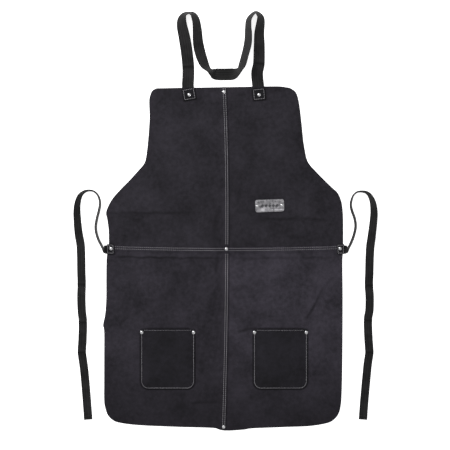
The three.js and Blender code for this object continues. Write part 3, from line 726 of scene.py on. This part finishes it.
# Soft ridges in the leather: two ends, how wide and how high, in millimetres.
RIPPLES_MM = [
    (-300, 3, -20, 0, 6, 1.9), (30, 3, 250, 0, 7, 1.1), (258, -68, 211, -167, 7, 2.0),
    (-300, 119, -60, 119, 7, 1.1), (55, 103, 276, 104, 7, 1.1), (-240, -120, -120, -60, 36, 3.0),
    (90, -60, 180, -20, 40, 2.8), (-150, 240, -60, 330, 45, 2.8), (60, 200, 150, 330, 48, 2.8),
    (-290, -240, -250, -330, 26, 2.2), (40, -360, 120, -300, 34, 2.4), (-120, -390, -40, -350, 28, 2.0),
    (255, -210, 280, -330, 22, 2.2), (-200, 60, -130, 95, 26, 2.0), (190, 50, 260, 80, 24, 1.8),
    (-60, -140, -25, -40, 20, 1.8), (60, -170, 75, -110, 22, 1.8), (-250, 20, -180, 90, 20, 1.6),
]


def swell(x, y):
    """How far the leather stands off the floor where it doesn't lie quite flat."""
    height = np.zeros_like(x, dtype=float)
    for x0, y0, x1, y1, width, high in np.array(RIPPLES_MM) * MM:
        dx, dy = x1 - x0, y1 - y0
        along = np.clip(((x - x0) * dx + (y - y0) * dy) / (dx * dx + dy * dy), 0, 1)
        away = np.hypot(x - x0 - along * dx, y - y0 - along * dy)
        height = np.maximum(height, high * np.exp(-((away / width) ** 2)))
    return height


TOP_Y = 445.5 * MM
NECK_WIDTH = 31 * MM
NECK_END = 27 * MM


def on_neck_end(side, x, y):
    """Places across and down a neck strap's sewn end."""
    start, angle = NECK_ENDS[side]
    across = (x - start) * math.cos(angle) + (y - TOP_Y) * math.sin(angle)
    down = (x - start) * math.sin(angle) - (y - TOP_Y) * math.cos(angle)
    return across, down


def over_neck_ends(x, y):
    """The bulge of the bib over the strap's ends, which lie behind it."""
    bulge = np.zeros_like(x, dtype=float)
    for side in NECK_ENDS:
        across, down = on_neck_end(side, x, y)
        wide = 1 - ease(NECK_WIDTH / 2, NECK_WIDTH / 2 + 5 * MM, np.abs(across))
        long = 1 - ease(NECK_END + 2 * MM, NECK_END + 8 * MM, down)
        bulge = np.maximum(bulge, wide * long)
    return bulge * (WEBBING + AIR)


def over_seam(x, y):
    """1 where the left leather has stepped up over the right."""
    return ease(-HALF_LAP - STEP, -HALF_LAP, x - seam_x(y))


def over_waist(x, y):
    """1 where the skirt's leather has stepped up over the bib."""
    return ease(-HALF_LAP - STEP, -HALF_LAP, y - waist_y(x))


def bib_right_back(x, y):
    return swell(x, y) + over_neck_ends(x, y)


def bib_left_back(x, y):
    return bib_right_back(x, y) + LAYER * over_seam(x, y)


def skirt_right_back(x, y):
    return swell(x, y) + LAYER * over_waist(x, y)


def skirt_left_back(x, y):
    return skirt_right_back(x, y) + LAYER * over_seam(x, y)


def front(x, y):
    """The height of the leather's face."""
    left = x < seam_x(y) + HALF_LAP
    skirt = y < waist_y(x) + HALF_LAP
    height = swell(x, y) + over_neck_ends(x, y) + LEATHER
    return height + LAYER * over_seam(x, y) * left + LAYER * over_waist(x, y) * skirt


def leather_panels():
    lines = []
    for offset in (-HALF_LAP - STEP, -HALF_LAP - STEP / 2, -HALF_LAP, HALF_LAP):
        y = np.linspace(-SEAM_REACH, SEAM_REACH, 150)
        lines.append(np.column_stack([seam_x(y) + offset, y]))
        x = np.linspace(-WAIST_REACH, WAIST_REACH, 110)
        lines.append(np.column_stack([x, waist_y(x) + offset]))
    points, triangles = spread(OUTLINE, lines, PANEL_SPACING)
    x, y = points[triangles].mean(axis=1).T
    u = x - seam_x(y)
    v = y - waist_y(x)
    strip = (u > -HALF_LAP) & (v < HALF_LAP)
    panels = [
        ("bib_leather_right", (u > -HALF_LAP) & (v > -HALF_LAP), bib_right_back, BIB_SUEDE),
        ("bib_leather_left", (u < HALF_LAP) & (v > -HALF_LAP) & ~strip, bib_left_back, BIB_SUEDE),
        ("skirt_leather_right", (u > -HALF_LAP) & (v < HALF_LAP), skirt_right_back, RIGHT_SUEDE),
        ("skirt_leather_left", (u < HALF_LAP) & (v < HALF_LAP), skirt_left_back, LEFT_SUEDE),
    ]
    return {name: leather_piece(name, points, triangles[keep], back, LEATHER, material)
            for name, keep, back, material in panels}


def fold_with_waist(piece):
    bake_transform(piece)


panels = leather_panels()
for side in ("left", "right"):
    bib = panels[f"bib_leather_{side}"]
    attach(bib, "bib")
    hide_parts(f"bib_panel_{side}")
    skirt = panels[f"skirt_leather_{side}"]
    fold_with_waist(skirt)
    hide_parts(f"skirt_panel_{side}", f"waist_lap_{side}")


# --- Webbing ---

# Each route is a list of points (x, y, lean). The webbing lies flat where the lean is 0 and stands on
# its edge where it is 90 degrees, with its left edge raised, or its right edge where negative.
NECK_ROUTE = [
    (-0.0939, 0.448, 0), (-0.093, 0.474, 0), (-0.0932, 0.5, 0), (-0.096, 0.53, 0), (-0.0995, 0.555, -4),
    (-0.104, 0.58, -16), (-0.109, 0.603, -28), (-0.1095, 0.62, -40), (-0.1035, 0.6325, -58),
    (-0.0915, 0.637, -69), (-0.0805, 0.634, -60), (-0.0746, 0.6245, -52), (-0.071, 0.61, -48),
    (-0.069, 0.589, -40), (-0.068, 0.569, -34), (-0.065, 0.548, -26), (-0.0605, 0.53, -26),
    (-0.055, 0.514, -32), (-0.0485, 0.5005, -44), (-0.0385, 0.489, -62), (-0.029, 0.483, -38),
    (-0.019, 0.48, -6), (0.012, 0.4798, 0), (0.024, 0.481, -12), (0.033, 0.485, -42),
    (0.0415, 0.492, -60), (0.0475, 0.504, -52), (0.054, 0.527, -52), (0.061, 0.555, -50),
    (0.063, 0.579, -54), (0.0625, 0.6, -60), (0.065, 0.622, -64), (0.08, 0.6385, -70),
    (0.0905, 0.633, -60), (0.0955, 0.6205, -50), (0.0915, 0.586, -34), (0.0915, 0.552, -22),
    (0.0905, 0.508, -12), (0.086, 0.482, 0), (0.0889, 0.448, 0),
]
LEFT_TIE_ROUTE = [
    (-0.308, 0.0238, -12), (-0.3102, 0.0238, -42), (-0.3135, 0.027, -66), (-0.319, 0.037, -68),
    (-0.326, 0.051, -68), (-0.3315, 0.0695, -68), (-0.3325, 0.086, -68), (-0.329, 0.106, -68),
    (-0.3245, 0.124, -68), (-0.3215, 0.141, -70), (-0.323, 0.1555, -72), (-0.329, 0.168, -76),
    (-0.339, 0.1755, -80), (-0.3525, 0.177, -80), (-0.365, 0.172, -74), (-0.3745, 0.161, -62),
    (-0.38, 0.142, -50), (-0.3815, 0.121, -40), (-0.3805, 0.1, -34), (-0.379, 0.08, -28),
    (-0.3765, 0.059, -18), (-0.373, 0.038, -6), (-0.3715, 0.007, 0), (-0.371, -0.035, 0),
    (-0.37, -0.066, 0), (-0.371, -0.097, 0), (-0.37, -0.133, 0), (-0.367, -0.165, 0),
    (-0.368, -0.211, 0), (-0.3695, -0.243, 0), (-0.3655, -0.274, 0), (-0.3625, -0.3, 0),
    (-0.3585, -0.346, 0), (-0.353, -0.418, 0),
]
RIGHT_TIE_ROUTE = [
    (0.316, 0.0238, 12), (0.3182, 0.0238, 42), (0.3215, 0.027, 66), (0.3275, 0.038, 68),
    (0.3345, 0.055, 68), (0.339, 0.071, 68), (0.341, 0.087, 68), (0.338, 0.106, 68),
    (0.3315, 0.124, 68), (0.3285, 0.138, 70), (0.33, 0.151, 72), (0.335, 0.164, 76),
    (0.344, 0.1725, 80), (0.356, 0.1745, 80), (0.369, 0.172, 76), (0.3785, 0.163, 66),
    (0.386, 0.145, 52), (0.389, 0.12, 38), (0.3875, 0.095, 32), (0.385, 0.072, 26), (0.3825, 0.05, 14),
    (0.38, 0.03, 4), (0.3785, 0, 0), (0.3775, -0.04, 0), (0.3765, -0.069, 0), (0.3785, -0.097, 0),
    (0.378, -0.133, 0), (0.374, -0.16, 0), (0.3755, -0.208, 0), (0.3775, -0.243, 0),
    (0.3735, -0.274, 0), (0.3705, -0.304, 0), (0.3645, -0.37, 0), (0.361, -0.418, 0),
]


def webbing_piece(name, route, lifts, width, creases=(), hem=0.0):
    """Flat webbing along a route, and its path. Creases are points of the route where it once was folded,
    where it stands up in a small ridge and has painted shade, and hem is how much of its far end is doubled
    back."""
    rows = [(*point, lifts[i] if i < len(lifts) else 0) for i, point in enumerate(route)]
    steps = 12
    line = smooth_path(rows, steps)
    spots = line[:, :2]
    tangent = np.gradient(spots, axis=0)
    tangent /= np.hypot(*tangent.T)[:, None]
    length = lengths_along(spots)
    lean = np.radians(line[:, 2])
    thick = np.full(len(line), WEBBING)
    if hem:
        thick *= 1 + 0.9 * ease(length[-1] - hem - 1 * MM, length[-1] - hem, length)
    lift = np.maximum(line[:, 3], 0)
    # Painted shade along each crease, kept as an attribute.
    fold_shade = np.zeros(len(line))
    for crease in creases:
        off = length - length[crease * steps]
        lift = lift + CREASE * np.exp(-((off / CREASE_WIDTH) ** 2))
        fold_shade += np.exp(-((off / FOLD_WIDTH) ** 2))
    middle = (np.abs(np.sin(lean)) * width + np.cos(lean) * thick) / 2 + lift
    path = np.column_stack([spots, middle])
    up = np.array([0, 0, 1.0])
    along = np.column_stack([tangent, np.zeros(len(line))])
    flat = np.cross(up, along)
    across = flat * np.cos(lean)[:, None] + up * np.sin(lean)[:, None]
    face = np.cross(along, across)
    half = width / 2
    shares = np.linspace(-1, 1, 9)
    top = [(share * (half - 0.4 * MM), 0.5 - 0.04 * share ** 2) for share in shares]
    edge = [(half - 0.08 * MM, 0.34), (half, 0), (half - 0.08 * MM, -0.34)]
    bottom = [(-a, -b) for a, b in top]
    other = [(-a, -b) for a, b in edge]
    section = top + edge + bottom + other
    points = []
    for at, side, out, deep in zip(path, across, face, thick):
        points += [at + a * side + b * deep * out for a, b in section]
    count = len(section)
    faces = []
    for row in range(len(line) - 1):
        for i in range(count):
            j = (i + 1) % count
            faces.append((row * count + i, (row + 1) * count + i, (row + 1) * count + j, row * count + j))
    faces.append(tuple(range(count)))
    faces.append(tuple(reversed(range((len(line) - 1) * count, len(line) * count))))
    piece = mesh_object(name, points, faces, WOVEN)
    weave = piece.data.uv_layers.new(name="weave")
    for loop in piece.data.loops:
        row, place = divmod(loop.vertex_index, count)
        weave.data[loop.index].uv = (length[row], section[place][0])
    fold_shade_marks = piece.data.attributes.new("fold_shade", "FLOAT", "POINT")
    fold_shade_marks.data.foreach_set("value", np.repeat(fold_shade, count).astype(np.float32))
    shade_soft(piece, 50)
    return piece, path


TIE_WIDTH = 22 * MM
TIE_LIFTS = [2 * LAYER, 2 * LAYER, 2 * LAYER, 1.5 * LAYER, 0.6 * LAYER]
TIE_HIDDEN = 19 * MM
TIE_HEM = 12 * MM
NECK_SHIFT = 0.5 * MM
NECK_CREASES = [3, 38]
TIE_CREASES = [26, 29, 31]
CREASE = 2.6 * MM
CREASE_WIDTH = 4.5 * MM
FOLD_WIDTH = 3 * MM


def neck_strap():
    sewn = {}
    for side, (x, angle) in NECK_ENDS.items():
        sewn[side] = (x + NECK_END * math.sin(angle), TOP_Y - NECK_END * math.cos(angle), 0)
    loop = [(x, y - NECK_SHIFT, lean) for x, y, lean in NECK_ROUTE]
    route = [sewn["left"], *loop, sewn["right"]]
    piece, path = webbing_piece("neck_strap_webbing", route, [], NECK_WIDTH, NECK_CREASES)
    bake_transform(piece)
    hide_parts("neck_strap", "neck_strap_end_left", "neck_strap_end_right")


def tie(side, route, outward):
    x, y, _ = route[0]
    start = x - outward * 4 * MM
    sewn = [(x - outward * TIE_HIDDEN, y + 1.2 * MM, 0), (start, y, 2 * outward)]
    piece, path = webbing_piece(f"{side}_tie_webbing", [*sewn, *route], TIE_LIFTS, TIE_WIDTH, TIE_CREASES,
                                TIE_HEM)
    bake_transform(piece)
    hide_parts(f"{side}_tie", f"{side}_tie_end")


neck_strap()
tie("left", LEFT_TIE_ROUTE, -1)
tie("right", RIGHT_TIE_ROUTE, 1)


# --- Pockets and patches ---

def rounded_loop(width, height, corners, middle, angle=0.0):
    """A rectangle whose corners, from the lower left anticlockwise, have these radii."""
    loop = []
    for i, (radius, (sx, sy)) in enumerate(zip(corners, ((-1, -1), (1, -1), (1, 1), (-1, 1)))):
        cx, cy = sx * (width / 2 - radius), sy * (height / 2 - radius)
        for step in range(7):
            turn = math.radians(180 + 90 * i + 15 * step)
            loop.append((cx + radius * math.cos(turn), cy + radius * math.sin(turn)))
    loop = np.array(loop)
    finer = []
    for a, b in zip(loop, np.roll(loop, -1, axis=0)):
        pieces = max(1, int(math.dist(a, b) / PANEL_SPACING))
        finer += [a + (b - a) * i / pieces for i in range(pieces)]
    c, s = math.cos(angle), math.sin(angle)
    return np.array([(middle[0] + x * c - y * s, middle[1] + x * s + y * c) for x, y in finer])


POCKET_CORNERS = (POCKET_CORNER, POCKET_CORNER, 1.5 * MM, 1.5 * MM)
POCKET_EASE = 4 * MM
POCKET_BORDER = 7 * MM
POCKET_SLOPE = 22 * MM


def pocket_back(middle):
    width, height = POCKET_SIZE

    def back(x, y):
        inside = np.minimum(width / 2 - np.abs(x - middle[0]), y - middle[1] + height / 2)
        loose = ease(POCKET_BORDER, POCKET_BORDER + POCKET_SLOPE, inside)
        sag = 1 - 0.25 * ease(0, height, y - middle[1] + height / 2)
        return swell(x, y) + LAYER + POCKET_EASE * loose * sag
    return back


def pocket(side):
    middle = cad_middle(f"pocket_{side}")
    loop = rounded_loop(*POCKET_SIZE, POCKET_CORNERS, middle)
    points, triangles = spread(loop, [], PANEL_SPACING)
    back = pocket_back(middle)
    piece = leather_piece(f"{side}_pocket", points, triangles, back, PATCH_LEATHER, PATCH_SUEDE)
    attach(piece, "skirt")
    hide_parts(f"pocket_{side}")
    return middle


def patch(name, node, size, angle, back, under):
    middle = cad_middle(node)
    loop = rounded_loop(*size, (PATCH_CORNER,) * 4, middle, angle)
    points, triangles = spread(loop, [], PATCH_SPACING)
    piece = leather_piece(name, points, triangles, back, PATCH_LEATHER, BADGE_SUEDE)
    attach(piece, "bib")
    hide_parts(node)
    return middle


SIDE_PATCH = (19 * MM, 25.5 * MM)
SIDE_PATCH_BACK = 2 * LAYER + WEBBING + AIR


def shoulder_patch_back(x, y):
    return swell(x, y) + over_neck_ends(x, y) + LEATHER + AIR


def side_patch_back(x, y):
    return swell(x, y) + SIDE_PATCH_BACK


# --- Stitches ---

STITCH = 3.9 * MM
STITCH_RADIUS = 0.62 * MM
FRONT_RISE = 0.2 * MM
BACK_RISE = 0.55 * MM


def stitch_template():
    """One stitch along X: a drawn-out ball with its ends dipped towards the leather."""
    ball = shaped_from(bpy.ops.mesh.primitive_uv_sphere_add, segments=7, ring_count=6,
                       radius=STITCH_RADIUS, rotation=(0, math.pi / 2, 0))
    for end in (-1, 1):
        select_parts(ball, "VERT", lambda vertex: vertex.co.x * end > 0.05 * MM)
        bpy.ops.transform.translate(value=(end * (STITCH / 2 - STITCH_RADIUS), 0, -0.12 * MM))
        bpy.ops.object.mode_set(mode="OBJECT")
    spots = np.array([vertex.co for vertex in ball.data.vertices])
    faces = [tuple(face.vertices) for face in ball.data.polygons]
    bpy.data.objects.remove(ball)
    return spots, faces


STITCH_SPOTS, STITCH_FACES = stitch_template()


def stitch_rows(name, rows, pitch, height, scale=1.0, thread=THREAD):
    """Stitches along each row of (x, y) points, on a surface at the height height(x, y)."""
    points = []
    faces = []
    for row in rows:
        row = np.array(row)
        length = lengths_along(row)
        count = max(2, int(length[-1] / pitch))
        for i in range(count):
            at = (i + 0.5) * length[-1] / count
            x = np.interp(at, length, row[:, 0])
            y = np.interp(at, length, row[:, 1])
            ahead = min(at + 1 * MM, length[-1])
            behind = max(at - 1 * MM, 0)
            dx = np.interp(ahead, length, row[:, 0]) - np.interp(behind, length, row[:, 0])
            dy = np.interp(ahead, length, row[:, 1]) - np.interp(behind, length, row[:, 1])
            size = math.hypot(dx, dy)
            c, s = dx / size, dy / size
            base = len(points)
            z = height_at(height, x, y)
            for px, py, pz in STITCH_SPOTS * scale:
                points.append((x + px * c - py * s, y + px * s + py * c, z + pz))
            faces += [tuple(base + k for k in face) for face in STITCH_FACES]
    piece = mesh_object(name, points, faces, thread)
    shade_soft(piece, 60)
    return piece


def on_face(x, y):
    return front(x, y) + FRONT_RISE


def on_back(x, y):
    return swell(x, y) + BACK_RISE


def on_patch(back):
    """The height of the stitches on a pocket or patch whose back lies at back(x, y)."""
    def height(x, y):
        return back(x, y) + PATCH_LEATHER + FRONT_RISE
    return height


ROW_SPREAD = 2.7 * MM
SEAM_PITCH = 5.2 * MM
WAIST_PITCH = 5 * MM
BIB_SEAM_ENDS = (0.037, 0.444)
SKIRT_SEAM_ENDS = (-0.442, 0.013)
WAIST_ENDS = (-0.294, 0.302)


def seam_rows(low, high):
    y = np.linspace(low, high, 90)
    return [np.column_stack([seam_x(y) + side * ROW_SPREAD, y]) for side in (-1, 1)]


def waist_rows():
    x = np.linspace(*WAIST_ENDS, 90)
    return [np.column_stack([x, waist_y(x) + side * ROW_SPREAD]) for side in (-1, 1)]


def seam_stitches():
    for face, height in (("front", on_face), ("back", on_back)):
        bib = stitch_rows(f"seam_stitches_bib_{face}", seam_rows(*BIB_SEAM_ENDS), SEAM_PITCH, height)
        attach(bib, "bib")
        skirt_rows = seam_rows(*SKIRT_SEAM_ENDS)
        skirt = stitch_rows(f"seam_stitches_skirt_{face}", skirt_rows, SEAM_PITCH, height)
        fold_with_waist(skirt)
        waist = stitch_rows(f"waist_stitches_{face}", waist_rows(), WAIST_PITCH, height, 1.0, SOILED_THREAD)
        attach(waist, "bib")


POCKET_INSET = 3.2 * MM
POCKET_ROW_CORNERS = (17 * MM, 17 * MM, 1 * MM, 1 * MM)
POCKET_PITCH = 4 * MM
PATCH_PITCH = 4.2 * MM
SHOULDER_ROW = (26.5 * MM, 24.5 * MM)
SIDE_ROW = (14 * MM, 20.5 * MM)
HEM_PITCH = 3.6 * MM
HEM_HEIGHT = 2.75 * MM
HEM_ROWS = (3 * MM, 9.5 * MM)


def pocket_stitches(side, middle):
    width, height = POCKET_SIZE
    loop = rounded_loop(width - 2 * POCKET_INSET, height - 2 * POCKET_INSET, POCKET_ROW_CORNERS, middle)
    mouth = middle[1] + height / 2 - 6 * MM
    start = int(np.argmax(loop[:, 1] < mouth))
    around = np.roll(loop, -start, axis=0)
    sewn = around[around[:, 1] < mouth]
    on_pocket = on_patch(pocket_back(middle))
    split = np.argmax(np.hypot(*np.diff(sewn, axis=0).T)) + 1
    sewn = np.roll(sewn, -split, axis=0)
    hem_y = middle[1] + height / 2 - 4 * MM
    hem = [(middle[0] - width / 2 + 9 * MM, hem_y), (middle[0] + width / 2 - 9 * MM, hem_y)]
    for name, row, on, size in ((f"{side}_pocket_stitches", sewn, on_pocket, 0.85),
                                (f"{side}_pocket_mouth_stitches", hem, on_pocket, 0.6),
                                (f"{side}_pocket_stitches_back", sewn, on_back, 0.85)):
        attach(stitch_rows(name, [row], POCKET_PITCH, on, size), "skirt")


def patch_stitches(name, middle, size, angle, back):
    loop = rounded_loop(*size, (1 * MM,) * 4, middle, angle)
    closed = np.vstack([loop, loop[:1]])
    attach(stitch_rows(name, [closed], PATCH_PITCH, on_patch(back), 0.9), "bib")


def on_hem(x, y):
    return np.full_like(x, HEM_HEIGHT)


def hem_stitches():
    for side, route in (("left", LEFT_TIE_ROUTE), ("right", RIGHT_TIE_ROUTE)):
        (x0, y0, _), (x1, y1, _) = route[-2:]
        size = math.dist((x0, y0), (x1, y1))
        dx, dy = (x1 - x0) / size, (y1 - y0) / size
        rows = []
        for back in HEM_ROWS:
            cx, cy = x1 - dx * back, y1 - dy * back
            reach = TIE_WIDTH / 2 - 2 * MM
            rows.append([(cx - dy * reach, cy + dx * reach), (cx + dy * reach, cy - dx * reach)])
        piece = stitch_rows(f"{side}_tie_hem_stitches", rows, HEM_PITCH, on_hem, 0.7, HEM_THREAD)
        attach(piece, f"{side}_tie")


for side in ("left", "right"):
    start, angle = NECK_ENDS[side]
    pocket_stitches(side, pocket(side))
    shoulder = patch(f"{side}_shoulder_patch", f"shoulder_patch_{side}", SHOULDER_PATCH, angle,
                     shoulder_patch_back, f"bib_leather_{side}")
    patch_stitches(f"{side}_shoulder_stitches", shoulder, SHOULDER_ROW, angle, shoulder_patch_back)
    hip = patch(f"{side}_side_patch", f"side_patch_{side}", SIDE_PATCH, 0.0, side_patch_back,
                f"{side}_tie_webbing")
    patch_stitches(f"{side}_side_stitches", hip, SIDE_ROW, 0.0, side_patch_back)

seam_stitches()
hem_stitches()


# --- Rivets ---

def draw_out(thing, level, scale):
    """Draws the innermost upward face of a cap out to a level, as one more ring."""
    mesh = thing.data
    inner = min((face for face in mesh.polygons if face.normal.z > 0.9 and len(face.vertices) > 4),
                key=lambda face: face.area)
    rise = level - mesh.vertices[inner.vertices[0]].co.z
    index = inner.index
    select_parts(thing, "FACE", lambda face: face.index == index)
    bpy.ops.mesh.extrude_region_move(TRANSFORM_OT_translate={"value": (0, 0, rise)})
    bpy.ops.transform.resize(value=(scale, scale, 1))
    bpy.ops.object.mode_set(mode="OBJECT")


def rivet_cap(radius, height):
    """A domed cap with a thin rolled rim, its underside at Z = 0."""
    rim = 0.3 * MM
    cap = shaped_from(bpy.ops.mesh.primitive_cylinder_add, vertices=28, radius=radius, depth=rim,
                      location=(0, 0, rim / 2))
    draw_out(cap, rim + 0.08 * MM, 0.95)
    draw_out(cap, rim, 0.94)
    foot = 0.95 * 0.94
    now = foot
    rings = 5
    for ring in range(1, rings + 1):
        angle = math.radians(84) * ring / rings
        share = foot * math.cos(angle)
        draw_out(cap, rim + (height - rim) * math.sin(angle), share / now)
        now = share
    round_edges(cap, 0.06 * MM, 60)
    shade_soft(cap, 35)
    return cap


def back_cap():
    """The thin cap closed over a rivet's end, with a dimple in its middle; its outside faces down."""
    depth = 0.5 * MM
    cap = shaped_from(bpy.ops.mesh.primitive_cylinder_add, vertices=24, radius=BACK_CAP_RADIUS,
                      depth=depth, location=(0, 0, depth / 2))
    inset_faces(cap, lambda face: face.normal.z < -0.9, DIMPLE_MM)
    round_edges(cap, 0.12 * MM, 50)
    shade_soft(cap, 35)
    return cap


def copies(template, spots):
    """A copy of the template at each named spot, each with a mesh of its own."""
    made = []
    for name, (x, y, z) in spots.items():
        mesh = template.data.copy()
        mesh.name = name
        for vertex in mesh.vertices:
            vertex.co.x += x
            vertex.co.y += y
            vertex.co.z += z
        mesh.materials.clear()
        mesh.materials.append(NICKEL)
        made.append(add_to_scene(name, mesh))
    bpy.data.objects.remove(template)
    return made


BIB_RIVETS = ["shoulder_left", "shoulder_right", "seam_top", "waist_middle", "side_left", "side_right"]
SKIRT_RIVETS = ["seam_hem", "left_pocket_outer", "left_pocket_inner", "right_pocket_inner",
                "right_pocket_outer"]
PLATE_RIVETS = ["plate_left", "plate_right"]
CAP_RADIUS = 4.2 * MM
PLATE_CAP_RADIUS = 3.6 * MM
BACK_CAP_RADIUS = 4 * MM
CAP_HEIGHT = 1.7 * MM
DIMPLE_MM = [(2.4, 0), (0.3, -0.25)]


def rivet_spots(names, cap_height):
    """Where each cap's underside goes: over its CAD cap, raised by the leather's swell."""
    spots = {}
    for name in names:
        x, y = cad_middle(f"rivet_{name}")
        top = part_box(f"rivet_{name}")[1][2]
        spots[f"{name}_rivet"] = (x, y, top - cap_height + height_at(swell, x, y))
    return spots


def all_rivets():
    groups = [(BIB_RIVETS, CAP_RADIUS, "bib"), (SKIRT_RIVETS, CAP_RADIUS, "skirt"),
              (PLATE_RIVETS, PLATE_CAP_RADIUS, "bib")]
    for names, radius, body in groups:
        caps = copies(rivet_cap(radius, CAP_HEIGHT), rivet_spots(names, CAP_HEIGHT))
        spots = {f"{name}_rivet_back": (*cad_middle(f"rivet_{name}"), 0.0) for name in names}
        backs = copies(back_cap(), spots)
        for name, cap, back in zip(names, caps, backs):
            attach(cap, body)
            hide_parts(f"rivet_{name}")
            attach(back, body)
            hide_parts(f"rivet_{name}_back")


all_rivets()


# --- Name plate ---

PLATE_SIZE = (75 * MM, 32 * MM)
PLATE_CORNER = 6 * MM
PLATE_ANGLE = math.radians(2.3)
PLATE_THICKNESS = 0.8 * MM
PLATE_RIM_MM = [(1.4, 0), (0.35, -0.45)]
PLATE_LINE_MM = [(1.2, 0), (0.3, 0.18), (0.5, 0), (0.3, -0.18)]
DIAMOND_PITCH = 9.6 * MM
DIAMOND_RADIUS = 4.6 * MM
DIAMOND_TOP_MM = [(0.9, 0.25), (0.5, -0.2)]


def plate_blank():
    """A rounded blank with a raised rim round a sunk field, and a fine raised line inside the rim."""
    width, height = PLATE_SIZE
    full = PLATE_THICKNESS + 0.5 * MM
    plate = shaped_from(bpy.ops.mesh.primitive_cube_add, size=1, location=(0, 0, full / 2),
                        scale=(width, height, full))
    heights = [vertex.co.z for vertex in plate.data.vertices]
    select_parts(plate, "EDGE", lambda edge: heights[edge.vertices[0]] != heights[edge.vertices[1]])
    bpy.ops.mesh.bevel(offset=PLATE_CORNER, segments=7)
    bpy.ops.object.mode_set(mode="OBJECT")
    inset_faces(plate, lambda face: face.normal.z > 0.9, PLATE_RIM_MM + PLATE_LINE_MM)
    round_edges(plate, 0.12 * MM, 35)
    shade_soft(plate, 35)
    return plate


def stud(x):
    """A small raised diamond, part of a plain row that takes the place of any lettering."""
    diamond = shaped_from(bpy.ops.mesh.primitive_cylinder_add, vertices=4, radius=DIAMOND_RADIUS,
                          depth=0.3 * MM, location=(x, 0, 0))
    inset_faces(diamond, lambda face: face.normal.z > 0.9, DIAMOND_TOP_MM)
    round_edges(diamond, 0.1 * MM, 30, 1)
    return diamond


def name_plate():
    x, y = cad_middle("name_plate")
    lift = height_at(swell, x, y)
    pieces = [("plate", plate_blank(), 0.0, PLATE)]
    for i in range(5):
        diamond = stud((i - 2) * DIAMOND_PITCH)
        pieces.append((f"plate_diamond_{i + 1}", diamond, PLATE_THICKNESS + 0.1 * MM, DARK_PLATE))
    for name, piece, rise, metal in pieces:
        piece.name = name
        piece.data.name = name
        piece.data.materials.clear()
        piece.data.materials.append(metal)
        piece.rotation_euler = (0, 0, PLATE_ANGLE)
        piece.location = (x, y, LAYER + lift + rise)
        finish_place(piece)
        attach(piece, "bib")
        if name == "plate":
            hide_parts("name_plate")


name_plate()


# --- Floor ---

def floor():
    deselect_all()
    bpy.ops.mesh.primitive_plane_add(size=8, location=(0, 0, -0.6 * MM))
    ground = bpy.context.object
    ground.name = "floor"
    ground.data.materials.append(FLOOR)


floor()
